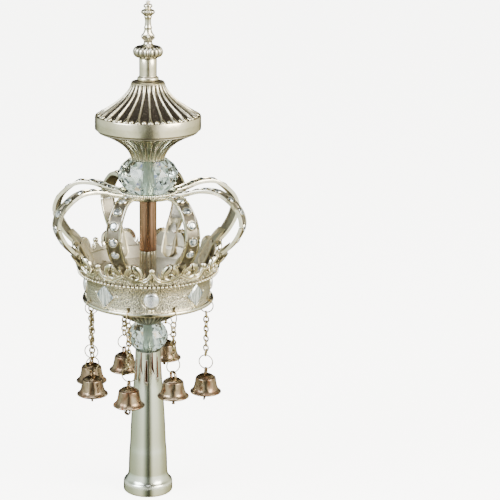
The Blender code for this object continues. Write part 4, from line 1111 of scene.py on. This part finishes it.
# %% Arches
ARCH_LINE = np.array([(57.23, 202.84), (68.53, 213.02), (75.79, 224.12), (77.4, 233.37), (72.56, 243.55),
                      (59.65, 253.26), (45.12, 254.65), (31.67, 250.95), (21.6, 249.1)]) * MM
ARCH_SEAM = 0.325
SEAM_HALF = 0.0015
ARCH_SECTION = np.array([(-0.5, -1.0), (-0.44, -1.0), (-0.4, -0.75), (-0.38, 0.05), (0.38, 0.05),
                         (0.4, -0.75), (0.44, -1.0), (0.5, -1.0), (0.5, 1.5), (0.48, 1.85), (0.44, 2.0),
                         (0.405, 1.85), (0.385, 1.45), (0.36, 0.8), (-0.36, 0.8), (-0.385, 1.45),
                         (-0.405, 1.85), (-0.44, 2.0), (-0.48, 1.85), (-0.5, 1.5)])
ARCH_DIRT = np.array([0.1, 0.1, 0.5, 0.7, 0.7, 0.5, 0.1, 0.1, 0, 0, 0, 0, 0.2, 0.8, 0.8, 0.2, 0, 0, 0, 0])
STONE_ARCS = np.array([22.0, 33.5, 45.0, 57.0, 68.5, 78.5, 86.0, 93.0, 99.5, 105.2]) * MM
STONE_RADII = np.array([3.4, 3.5, 3.55, 3.5, 3.4, 3.0, 2.75, 2.5, 2.2, 2.0]) * MM


def arch_curve():
    """Even points of the middle line with their directions and widths."""
    line = evenly(spline(ARCH_LINE, 24), 241)
    run = unit(np.gradient(line, axis=0))
    share = np.linspace(0, 1, len(line))
    width = 12.0 - 3.0 * np.clip((share - ARCH_SEAM) / (1 - ARCH_SEAM), 0, 1)
    width = width - 1.6 * (1 - smooth_step(share, 0.0, 0.12))
    return line, run, share, width * MM


def in_plane(azimuth, flat):
    """(radius, height) pairs as points in the upright plane at an azimuth."""
    return out(azimuth) * flat[..., :1] + UP * flat[..., 1:]


def arch_part(low, high):
    """The strip's section carried between two shares of the line, in the plane of azimuth 0."""
    line, run, share, width = arch_curve()
    kept = (share >= low - 1e-9) & (share <= high + 1e-9)
    lift = in_plane(0.0, np.stack([run[:, 1], -run[:, 0]], -1)[kept])
    side = np.broadcast_to(around(0.0), lift.shape)
    size = np.stack([width[kept], np.full(kept.sum(), MM)], -1)
    return carried(in_plane(0.0, line[kept]), side, lift, ARCH_SECTION, size, ARCH_DIRT[None])


arch_length = np.linalg.norm(np.diff(arch_curve()[0], axis=0), axis=1).sum()
print("each arch is", round(arch_length / MM, 1), "mm long")


def arch_frames(arcs):
    """Places on the strip's floor at given lengths from the foot, with the axes (side, run, lift)."""
    line, run, share, _ = arch_curve()
    flat, way = (np.stack([np.interp(arcs / arch_length, share, rows[:, axis]) for axis in (0, 1)], -1)
                 for rows in (line, run))
    way = unit(way)
    lift = in_plane(0.0, np.stack([way[:, 1], -way[:, 0]], -1))
    side = np.broadcast_to(around(0.0), lift.shape)
    return in_plane(0.0, flat) + lift * 0.8 * MM, axes_of(side, in_plane(0.0, way), lift)


# %% Cups and brilliants
def cup(sides=20):
    """A stone's cup of unit radius: a ring of (radius, height) rows with a rounded lip."""
    rows = np.array([(1.0, -0.05), (1.08, 0.1), (1.1, 0.3), (1.02, 0.42), (0.93, 0.4), (0.9, 0.2),
                     (0.9, -0.05)])
    turn = np.arange(sides) * FULL_TURN / sides
    ring = np.stack([np.cos(turn), np.sin(turn)], -1)
    points = np.concatenate([ring[None] * rows[:, None, :1],
                             np.broadcast_to(rows[:, None, 1:], (len(rows), sides, 1))], -1)
    dirt = np.array([0.6, 0.3, 0, 0, 0.1, 0.8, 0.9])[:, None]
    return sheet(points, dirt, round_rows=True, round_columns=True)


def brilliant(sides=10):
    """A paste brilliant of unit radius: rows of (radius, height), the third turned by half a facet."""
    rows = np.array([(0.0, 0.0), (0.93, 0.0), (0.93, 0.22), (0.68, 0.5), (0.5, 0.6), (0.0, 0.6)])
    turn = (np.arange(sides)[None] + 0.5 * np.array([0, 0, 0, 1, 0, 0])[:, None]) * FULL_TURN / sides
    points = np.stack([rows[:, :1] * np.cos(turn), rows[:, :1] * np.sin(turn),
                       np.broadcast_to(rows[:, 1:], turn.shape)], -1)
    return sheet(points, round_columns=True)


places, axes = arch_frames(STONE_ARCS)
low_stones = STONE_ARCS < 36 * MM
sized = axes * STONE_RADII[:, None, None]
cups_low = copies(cup(), places[low_stones], sized[low_stones])
cups_high = copies(cup(), places[~low_stones], sized[~low_stones])
print(8 * len(places), "brilliants")

# %% Leaf and back of an arch's foot
LEAF_EDGE = ((0.0, 211.6, 66.8), (4.4, 207.4, 62.4), (7.2, 202.8, 58.9), (4.6, 198.4, 57.6))
LEAF_RIB = ((0.0, 206.8, 66.6), (0.0, 201.2, 62.2), (0.0, 195.6, 57.4))
FOOT_BACK_LINE = ((66.4, 214.2), (60.8, 208.4), (55.9, 202.4), (52.2, 196.6), (48.9, 190.6), (46.9, 186.0))
CHANNEL = np.array([(-5.6, -0.9), (-4.4, -1.1), (-4.0, 0.0), (-2.4, 2.0), (0.0, 2.5), (2.4, 2.0), (4.0, 0.0),
                    (4.4, -1.1), (5.6, -0.9), (5.2, 1.0), (3.4, 3.2), (-3.4, 3.2), (-5.2, 1.0)])
CHANNEL_DIRT = np.array([0.05, 0, 0.2, 0.3, 0.3, 0.3, 0.2, 0, 0.05, 0.4, 0.5, 0.5, 0.4])
HALF_BAY = np.array([BAY / 2])


def foot_leaf():
    """The folded leaf over an arch's foot: rim + share * (apex - rim), sunk by a sine in between."""
    rim = np.array([(0.0, 195.4, 56.4), (4.2, 198.6, 57.0), (7.2, 202.6, 58.0), (4.6, 207.0, 61.2),
                    (0.0, 211.0, 66.2), (-4.6, 207.0, 61.2), (-7.2, 202.6, 58.0), (-4.2, 198.6, 57.0)])
    apex = np.array([0.0, 206.6, 66.4])
    steps = np.linspace(0, 1, 7)[:, None, None]
    front = rim + (apex - rim) * steps
    front[..., 2] -= 1.5 * np.sin(math.pi * steps[..., 0]) * (1 - 0.6 * (np.arange(8) % 2 == 0))
    back = rim.copy()
    back[:, 2] -= 1.6
    middle = np.broadcast_to(back.mean(0), back.shape)
    grid = np.concatenate([front[::-1], back[None], middle[None]]) * MM
    points = around(0.0) * grid[..., :1] + UP * grid[..., 1:2] + out(0.0) * grid[..., 2:]
    dirt = np.concatenate([0.9 * np.sin(np.linspace(0.0, math.pi, 7)), [0.6, 0.6]])[:, None]
    return sheet(points, dirt, round_columns=True)


def foot_back():
    """The hollow back of an arch's foot: a channel that is thin at its top and narrows at its low end."""
    line = evenly(spline(np.array(FOOT_BACK_LINE) * MM, 8), 33)
    run = unit(np.gradient(line, axis=0))
    lift = in_plane(0.0, np.stack([run[:, 1], -run[:, 0]], -1))
    share = np.linspace(0, 1, 33)
    width = 1 - 0.55 * smooth_step(share, 0.86, 1.0) ** 2
    thick = 0.25 + 0.65 * smooth_step(share, 0.0, 0.2)
    return carried(in_plane(0.0, line), np.broadcast_to(around(0.0), lift.shape), -lift, CHANNEL,
                   np.stack([width, thick], -1) * MM, CHANNEL_DIRT[None])


def leaf_edges():
    """Rolled edges of the leaf, from its tip down both sides, and its middle rib, thin at both ends."""
    parts = []
    for sign, line in ((1, LEAF_EDGE), (-1, LEAF_EDGE), (1, LEAF_RIB)):
        flat = spline(np.array(line) * np.array([sign, 1, 1]) * MM, 8)
        path = around(0.0) * flat[:, :1] + UP * flat[:, 1:2] + out(0.0) * flat[:, 2:]
        run = unit(np.gradient(path, axis=0))
        side = unit(np.cross(run, out(0.0) + 0.5 * UP))
        size = 1.75 * MM * np.clip(np.sin(np.linspace(0.35, math.pi - 0.25, len(path))), 0.3, 1)
        parts.append(carried(path, side, np.cross(side, run), ROLL, size, 0.0))
    return joined(*parts)


def eight_arches(shape):
    """A shape in the plane of azimuth 0, turned by half a bay and set at all eight arches."""
    axes = axes_of(around(HALF_BAY), -out(HALF_BAY), UP[None])
    return round_the_crown(copies(shape, np.zeros((1, 3)), axes))


lower = joined(arch_part(0.0, ARCH_SEAM - SEAM_HALF), cups_low, foot_leaf(), leaf_edges())
upper = joined(arch_part(ARCH_SEAM + SEAM_HALF, 1.0), cups_high)
make_piece("crown_arch_feet", eight_arches(lower), CAST_PLATE, [], crease=32)
make_piece("arch_foot_backs", eight_arches(foot_back()), INNER_PLATE, [], crease=32)
make_piece("crown_arches", eight_arches(upper), CAST_PLATE, ["crown_top"], crease=32)
make_piece("arch_brilliants", eight_arches(copies(brilliant(), places, sized)), WHITE_PASTE, [],
           crease=5)

# %% [markdown]
# ## Hub, rod and column
#
# The arches meet in a round plate with a beaded edge. A worn copper tube goes down from it to a
# ribbed column that rises from the dish. All three are turned shapes; the column's ribs are a cosine
# round the axis.

# %% Hub, rod and column
HUB_PROFILE = ((0.0, 245.6), (8.0, 245.6), (8.5, 246.0), (8.5, 246.9), (9.4, 247.3), (20.6, 247.2),
               (22.4, 247.5), (23.4, 248.2), (23.6, 248.9), (23.5, 250.4), (22.9, 250.9), (21.6, 250.9),
               (20.4, 251.15), (0.0, 251.15))
HUB_BEADS = 46
TUBE_EDGE = 0.3 * MM
COLUMN_SIDES = 168


def make_hub():
    """Plate with a rounded rim, turned from its profile, and a ring of small balls on its edge."""
    profile = np.array(HUB_PROFILE) * MM
    dirt = np.array([0.7, 0.7, 0.2, 0.2, 0.9, 0.9, 0.7, 0.3, 0.0, 0.0, 0.6, 0.6, 0.1, 0.1])[:, None]
    turn = np.arange(HUB_BEADS) * FULL_TURN / HUB_BEADS
    beads = copies(ball(1.42 * MM, 8, 12), out(turn) * 22.3 * MM + UP * 251.5 * MM,
                   axes_of(around(turn), -out(turn), UP))
    return joined(turned(profile, 144, recess=dirt), beads)


def tube(radius, low, high, sides, lift=0.0, dirt=0.0):
    """A straight round bar whose ends are softened by a small slope."""
    rise = np.linspace(low + TUBE_EDGE, high - TUBE_EDGE, 15)
    profile = np.array([(0, low), (radius - TUBE_EDGE, low), *((radius, level) for level in rise),
                        (radius - TUBE_EDGE, high), (0, high)])
    return turned(profile, sides, lift, dirt)


ribs = np.cos(np.arange(COLUMN_SIDES) * FULL_TURN / 12)
rib_lift = np.zeros((19, COLUMN_SIDES))
rib_lift[2:-2] = 0.3 * MM * (ribs - 1)
column = tube(reach("column"), *levels("column"), COLUMN_SIDES, rib_lift, 0.12 + 0.13 * (1 - ribs[None]))
rod = tube(reach("rod"), *levels("rod"), 96, dirt=0.1)
make_piece("hub_plate", make_hub(), CAST_PLATE, [])
make_piece("ribbed_column", column, FLUTED_PLATE, ["column"])
make_piece("copper_rod", rod, WORN_COPPER, ["rod"])

# %% [markdown]
# ## Roof and trumpet
#
# The roof is a hollow sweep with 24 narrow round ribs on a dark sunk floor. Each rib ends above the
# smooth band, and a small flattened ball sits under its end. The trumpet below it has wide soft ribs
# with narrow grooves. Both are one profile carried round with a lift that depends on where between
# two ribs a point lies, so the ribs are real and throw real shadows.

# %% Roof
ROOF_RIBS = 24
RIB_STEPS = 24
ROOF_BAND = ((0, 0.2), (39.6, 0.2), (41.0, 0), (41.5, 0.4), (41.5, 5), (41.45, 10.0), (41.1, 10.7))
ROOF_BAND_HEIGHT = 11.0
ROOF_TOP = ((12.7, -1.5), (12.9, -0.9), (12.4, -0.4), (9.0, -0.2), (0.0, -0.2))
LOBE_RADIUS = 1.9 * MM
LOBE_RING = 38.4 * MM
LOBE_END = 0.045


def above(rows, level):
    """Rows of (radius, height) in millimetres as points in metres, counted from a level."""
    return np.array(rows) * MM + np.array([0.0, level])


def rib_phase():
    """Distance from the nearest rib's middle, in halves of the pitch: 0 on the rib, 1 between two."""
    step = np.arange(ROOF_RIBS * RIB_STEPS) % RIB_STEPS / RIB_STEPS
    return np.abs(2 * ((step + 0.5) % 1) - 1)[None]


def make_roof():
    """Band, ribbed sweep and a flat disc on top.

    The sweep's radius is 13.3 + 27.3 * (1 - share) ** 1.65, and a rib's height is the square root of
    1 - (phase / half its width) ** 2, so it is round, and just above the band it ends in a round lobe.
    """
    low, high = levels("roof")
    edge = low + ROOF_BAND_HEIGHT * MM
    share = np.concatenate([np.linspace(0, 0.1, 16), np.linspace(0.12, 1, 50)])
    sweep = np.stack([(13.3 + 27.3 * (1 - share) ** 1.65) * MM, edge + (high - 1.6 * MM - edge) * share], -1)
    profile = np.concatenate([above(ROOF_BAND, low), sweep, above(ROOF_TOP, high)])
    ribbed = slice(len(ROOF_BAND), -len(ROOF_TOP))
    phase = rib_phase()
    half = np.interp(share, (0, 0.03, 0.08, 0.15, 0.4, 0.7, 1), (0.46, 0.52, 0.36, 0.18, 0.22, 0.42, 0.74))
    deep = np.interp(share, (0, 0.04, 0.3, 0.75, 1), (1.5, 2.1, 1.9, 1.1, 0.5))[:, None] * MM
    across = (phase / half[:, None]) ** 2
    rib = np.sqrt(np.clip(1 - across, 0, 1)) ** 0.8
    end = (np.clip(LOBE_END - share, 0, 1) / 0.04)[:, None] ** 2
    lobe = np.sqrt(np.clip(1 - across - end, 0, 1))
    height = np.where(share[:, None] < LOBE_END, lobe, rib)
    lift = np.zeros((len(profile), phase.shape[1]))
    lift[ribbed] = deep * (height - 1)
    dirt = np.zeros_like(lift)
    dirt[ribbed] = 1.05 * (1 - height)
    dirt[:3] = 0.8
    dirt[-len(ROOF_TOP):] = 0.3
    turn = (np.arange(ROOF_RIBS) + 0.5) * FULL_TURN / ROOF_RIBS
    slope = unit(-out(turn) + 0.75 * UP)
    lobes = copies(ball(LOBE_RADIUS, 7, 12, 0.5), out(turn) * LOBE_RING + UP * (edge + 0.5 * MM),
                   axes_of(around(turn), slope, np.cross(around(turn), slope)))
    return joined(turned(profile, phase.shape[1], lift, dirt), lobes)


# %% Trumpet and neck
TRUMPET_FOOT = ((0.0, 0.0), (12.6, 0.0))
TRUMPET_RING = ((38.8, -2.0), (39.3, -1.5), (39.25, -0.9), (38.7, -0.6), (38.9, 0.0), (0.0, 0.0))
NECK_BASE = ((0, 0), (7.9, 0), (8.4, 0.7), (8.5, 1.6), (8.2, 2.6), (7.3, 3.1), (7.0, 3.5), (6.9, 4.2),
             (6.9, 10.0))
NECK_END = ((6.9, -0.5), (6.5, 0), (0, 0))
NECK_DIRT = np.array([0.8, 0.9, 0.4, 0.0, 0.1, 0.8, 0.6, 0.1, 0.0, 0.0, 0.5, 0.8])


def make_trumpet():
    """Wide ribs with narrow grooves between a flat foot and a step ring under the roof's band.

    Radius = 13.2 + 25.3 * (0.22 * share + 0.78 * share ** 2.4), and a rib is the root of
    1 - (0.96 * phase) ** 3.
    """
    low, high = levels("roof_trumpet")
    share = np.linspace(0, 1, 46)
    flare = 13.2 + 25.3 * (0.22 * share + 0.78 * share ** 2.4)
    sweep = np.stack([flare * MM, low + (high - 2.2 * MM - low) * share], -1)
    profile = np.concatenate([above(TRUMPET_FOOT, low), sweep, above(TRUMPET_RING, high)])
    ribbed = slice(len(TRUMPET_FOOT), -len(TRUMPET_RING))
    phase = rib_phase()
    deep = np.interp(share, (0, 0.1, 0.6, 0.95, 1), (0.3, 1.0, 1.8, 2.0, 0.4))[:, None] * MM
    height = np.sqrt(np.clip(1 - (0.96 * phase) ** 3, 0, 1))
    lift = np.zeros((len(profile), phase.shape[1]))
    lift[ribbed] = deep * (height - 1)
    dirt = np.zeros_like(lift)
    dirt[ribbed] = 0.02 + 0.55 * smooth_step(phase, 0.6, 1.0)
    dirt[-len(TRUMPET_RING):] = 0.5
    return turned(profile, phase.shape[1], lift, dirt)


def make_neck():
    """The bright tube above the roof with a rounded base ring, turned from its profile."""
    low, high = levels("neck")
    profile = np.concatenate([above(NECK_BASE, low), above(NECK_END, high)])
    return turned(profile, 96, recess=NECK_DIRT[:, None])


make_piece("roof_trumpet_shell", make_trumpet(), FLUTED_PLATE, ["roof_trumpet"], crease=45)
make_piece("roof_shell", make_roof(), FLUTED_PLATE, ["roof"], crease=45)
make_piece("neck_tube", make_neck(), FLUTED_PLATE, ["neck"], crease=45)

# %% [markdown]
# ## Knop and spire
#
# The knop is a flattened ball with sixteen gadroons, full ribs that meet in sharp lines. From its
# petalled top rises a small spire with side leaves, a waist, a tiny gadrooned knop and two balls.
# It is one turned profile again; the leaves and the little knop come from lifts that repeat round it.

# %% Knop and spire
SPIRE_PROFILE = ((5.4, 9.3), (4.5, 10.0), (3.7, 10.9), (3.3, 12.0), (3.5, 13.0), (4.3, 14.3), (5.4, 15.9),
                 (5.2, 17.3), (4.1, 18.8), (3.3, 20.3), (2.9, 22.0), (3.2, 23.4), (2.7, 24.6), (2.4, 27.5),
                 (2.5, 30.0), (3.1, 31.4), (2.9, 32.2), (3.6, 33.0), (5.3, 34.4), (5.5, 35.4), (5.0, 36.4),
                 (3.2, 37.4), (2.0, 37.8), (2.2, 38.1), (3.3, 39.1), (3.45, 39.9), (3.0, 41.0), (1.6, 41.7),
                 (1.1, 41.9), (1.6, 42.4), (1.8, 42.9), (1.5, 43.6), (0.7, 43.9), (0.0, 43.96))
SPIRE_SIDES = 192
KNOP_ROWS = 30


def bump(heights, middle, width):
    """A soft bump in height, as a column: exp(-((height - middle) / width) ** 2)."""
    return np.exp(-((heights - middle) / width) ** 2)[:, None]


def make_spire():
    """Gadrooned knop, then a leafed spire with a small gadrooned knop and two balls.

    The knop's radius is 5.6 + 6.2 * sin(t) ** 0.8, and its ribs are |sin 8a| ** 0.7. Leaves and small
    knop are lifts in cos 6a and |sin 6a| that fade with height.
    """
    low, _ = levels("spire")
    rise = np.linspace(0, math.pi, KNOP_ROWS)
    knop = np.stack([(5.6 + 6.2 * np.sin(rise) ** 0.8) * MM, low + 9.4 * MM * (0.5 - 0.5 * np.cos(rise))], -1)
    spire = spline(above(SPIRE_PROFILE, low), 3)
    profile = np.concatenate([[[0, low]], knop, spire])
    angle = np.arange(SPIRE_SIDES)[None] * FULL_TURN / SPIRE_SIDES
    gadroon, wave, small_ribs = np.abs(np.sin(8 * angle)) ** 0.7, np.cos(6 * angle), np.abs(np.sin(6 * angle))
    bulge = np.sin(rise)[:, None] ** 1.2
    heights = (spire[:, 1] - low) / MM
    leaf, small = bump(heights, 15.9, 1.8), bump(heights, 35.2, 1.6)
    on_knop, on_spire = slice(1, KNOP_ROWS + 1), slice(KNOP_ROWS + 1, None)
    lift = np.zeros((len(profile), SPIRE_SIDES))
    lift[on_knop] = 0.95 * MM * (gadroon - 1) * bulge
    lift[on_spire] = 1.5 * MM * leaf * (wave - 0.55) + 0.45 * MM * small * (small_ribs - 1)
    dirt = np.full_like(lift, 0.1)
    dirt[on_knop] = 0.15 + 0.85 * (1 - gadroon) * bulge
    dirt[on_spire] = (0.15 + 0.8 * leaf * (0.5 - 0.5 * wave) + 0.7 * bump(heights, 12.9, 0.7)
                      + 0.6 * small * (1 - small_ribs))
    return turned(profile, SPIRE_SIDES, lift, dirt)


make_piece("spire_casting", make_spire(), CAST_PLATE, ["spire"], crease=50)

# %% [markdown]
# ## Chains and bells
#
# Each bell hangs from a hole in the band: a ring goes through the hole, small oval links go down from
# it, each a quarter turn from the one before, and a second ring holds the bell's strap. A link is a
# circle of wire carried along an oval. The bell is a turned shell with a real wall, a soft shoulder
# and a flared lip, and a clapper hangs inside it. Five clappers are each bent in their own way, and the
# other two share one plain bend.

# %% Rings and links
WIRE = circle(8, 0.5)
RING_RADIUS = 5.6 * MM
RING_WIRE = 0.95 * MM
LINK_PITCH = 3.7 * MM
LINK_WIRE = 1.3 * MM
LINK_HALF_WIDTH = 1.95 * MM
BELLS = (("front_left", -21, 0.0, 10), ("front_right", 21, 7.0, 8), ("left_front", -69, 0.0, 9),
         ("left_back", -111, -0.8, 9), ("right_front", 69, 0.4, 9), ("back_left", -159, -1.5, 10),
         ("back_right", 159, 8.5, 8))
CHAIN_DROP = 38.5
HANG_RADIUS = 48.55 * MM
RING_TOP = 167.6 * MM
BELLS_DROP = 2.3 * MM
CROWN_BELOW_RING = 4.0 * MM


def wire_oval(centre, wide, tall, half_width, half_height, thickness, steps):
    """A closed oval of round wire: centre + wide * half_width * sin t + tall * half_height * cos t."""
    turn = (np.arange(steps) * FULL_TURN / steps)[:, None]
    path = centre + wide * half_width * np.sin(turn) + tall * half_height * np.cos(turn)
    run = unit(np.roll(path, -1, 0) - np.roll(path, 1, 0))
    through = np.broadcast_to(np.cross(wide, tall), run.shape)
    return carried(path, unit(np.cross(run, through)), through, WIRE, np.full(steps, thickness), loop=True)


def link():
    """One chain link about the origin, in the plane of the first and third axes."""
    return wire_oval(np.zeros(3), np.array([1.0, 0, 0]), UP, LINK_HALF_WIDTH, (LINK_PITCH + LINK_WIRE) / 2,
                     LINK_WIRE, 16)


def chain(azimuth, drop, links, seed):
    """Upper ring, links and lower ring. Link k hangs at start - (k + 1/2) * drop / links.

    Each is turned a quarter against the one above, and turned and tilted a little more at random.
    """
    chance = np.random.default_rng(seed)
    away, beside = out(azimuth), around(azimuth)
    top = away * HANG_RADIUS + UP * (RING_TOP - RING_RADIUS)
    start, pitch = top[2] - RING_RADIUS, drop / links
    steps = np.arange(links)
    centres = away * HANG_RADIUS + UP * (start - (steps[:, None] + 0.5) * pitch)
    twist = azimuth + (steps + 1) % 2 * math.pi / 2 + chance.uniform(-0.35, 0.35, links)
    tilt = chance.uniform(-0.12, 0.12, links)[:, None]
    wide = out(twist)
    tall = unit(UP + tilt * around(twist))
    stretch = (pitch + LINK_WIRE) / (LINK_PITCH + LINK_WIRE)
    body = copies(link(), centres, axes_of(wide, np.cross(tall, wide), tall * stretch))
    low = top - UP * (2 * RING_RADIUS + drop)
    rings = [wire_oval(centre, wide, UP, RING_RADIUS, RING_RADIUS, RING_WIRE, 40)
             for centre, wide in ((top, away), (low, (away, beside)[(links + 1) % 2]))]
    return joined(body, *rings)


print(len(BELLS), "chains,", sum(links for _, _, _, links in BELLS), "links")


# %% Bells and clappers
BELL_PROFILE = np.array([(12.35, 0.0), (12.5, 0.45), (12.3, 0.95), (11.4, 1.7), (10.3, 2.9), (9.5, 4.6),
                         (9.0, 6.6), (8.6, 8.8), (8.3, 10.8), (8.05, 12.0), (7.7, 12.6), (7.0, 13.0),
                         (6.5, 13.5), (5.2, 14.4), (3.6, 15.1), (1.6, 15.55), (0.0, 15.65)]) * MM
BELL_HEIGHT = BELL_PROFILE[-1, 1]
BELL_WALL = np.array([0.8, 0.7]) * MM
STRAPS = {"front_left": (2.3, 0.9, 1.5), "front_right": (3.8, 1.2, 2.2), "left_front": (3.2, 0.9, 1.5),
          "right_front": (2.3, 0.9, 1.5)}
PLAIN_STRAP = (2.4, 0.9, 1.6)
CLAPPERS = {"front_left": ((0, 14), (0.4, 6), (0.8, -1.5), (0.7, -6.0), (-0.8, -7.4), (-2.4, -6.6),
                           (-2.8, -5.2)),
            "front_right": ((0, 14), (-0.3, 5), (0.3, -2.0), (0.2, -6.6)),
            "left_front": ((0, 14), (0.6, 6), (-0.3, -1.0), (-0.9, -6.2)),
            "right_front": ((0, 14), (0, 5), (-0.6, -1.5), (-2.6, -4.0), (-4.6, -4.3)),
            "back_right": ((0, 14), (0, 5), (0.8, -2.0), (1.8, -5.8))}
PLAIN_CLAPPER = ((0, 14), (0.2, 6), (0.4, -1.0), (0.3, -4.8))
TONGUE = np.array([(-0.5, -0.28), (-0.3, -0.45), (0.3, -0.45), (0.5, -0.28), (0.5, 0.28), (0.3, 0.45),
                   (-0.3, 0.45), (-0.5, 0.28)])


def strap_loop(wide, half, thick, broad):
    """The strap on the bell's top: a flat section carried along an arch, all in millimetres."""
    arch = np.array([(-half, -0.8), (-half * 1.12, 1.6), (-half * 0.86, 3.7), (0, 4.75), (half * 0.86, 3.7),
                     (half * 1.12, 1.6), (half, -0.8)])
    line = spline(arch * MM, 6)
    path = wide * line[:, :1] + UP * (line[:, 1:] + BELL_HEIGHT)
    run = unit(np.gradient(path, axis=0))
    through = np.broadcast_to(np.cross(wide, UP), run.shape)
    size = np.tile([broad * MM, thick * MM], (len(path), 1))
    return carried(path, through, unit(np.cross(run, through)), TONGUE, size, 0.15)


def bell(place, wide, strap):
    """A shell turned from its profile, the same profile 0.8 mm further in for the inside, and a strap."""
    outside = spline(BELL_PROFILE, 4)
    inside = outside[::-1] - BELL_WALL
    inside = inside[inside[:, 0] > 0.1 * MM]
    inside = np.concatenate([[[0.0, BELL_HEIGHT - BELL_WALL[1]]], inside])
    inside[-3:, 1] = np.maximum(inside[-3:, 1], 0.25 * MM)
    heights = outside[:, 1] / MM
    dirt = 0.15 + 0.6 * bump(heights, 12.9, 0.5) + 0.35 * bump(heights, 2.2, 0.8)
    shell = (turned(outside, 72, recess=dirt),
             turned(np.concatenate([inside, outside[:1]]), 72, recess=0.95))
    points, quads, recess = joined(*shell, strap_loop(wide, *strap))
    return points + place, quads, recess


def clapper(place, wide, line):
    """A tongue of dark iron along its own bent line, whose size grows with the square of its run."""
    curve = spline(np.array(line, float) * MM, 8)
    path = place + wide * curve[:, :1] + UP * curve[:, 1:]
    run = unit(np.gradient(path, axis=0))
    through = np.broadcast_to(np.cross(wide, UP), run.shape)
    grow = np.linspace(0.5, 1.0, len(path)) ** 2
    size = np.stack([(0.7 + 0.9 * grow) * MM, 2.6 * grow * MM], -1)
    return carried(path, through, unit(np.cross(run, through)), TONGUE[:, ::-1], size, 0.2)


for number, (name, place, short, links) in enumerate(BELLS):
    azimuth = math.radians(place)
    drop = (CHAIN_DROP - short) * MM - BELLS_DROP
    lip = RING_TOP - 4 * RING_RADIUS - drop - CROWN_BELOW_RING - BELL_HEIGHT
    foot = out(azimuth) * HANG_RADIUS + UP * lip
    wide = (out(azimuth), around(azimuth))[links % 2]
    make_piece("bell_chain_" + name, chain(azimuth, drop, links, 11 + number), CHAIN_METAL, ["chain_" + name],
               crease=80)
    make_piece("bell_shell_" + name, bell(foot, wide, STRAPS.get(name, PLAIN_STRAP)), BELL_METAL,
               ["bell_" + name], crease=50)
    tongue = clapper(foot, around(azimuth), CLAPPERS.get(name, PLAIN_CLAPPER))
    make_piece("bell_clapper_" + name, tongue, DARK_IRON, ["clapper_" + name], crease=60)
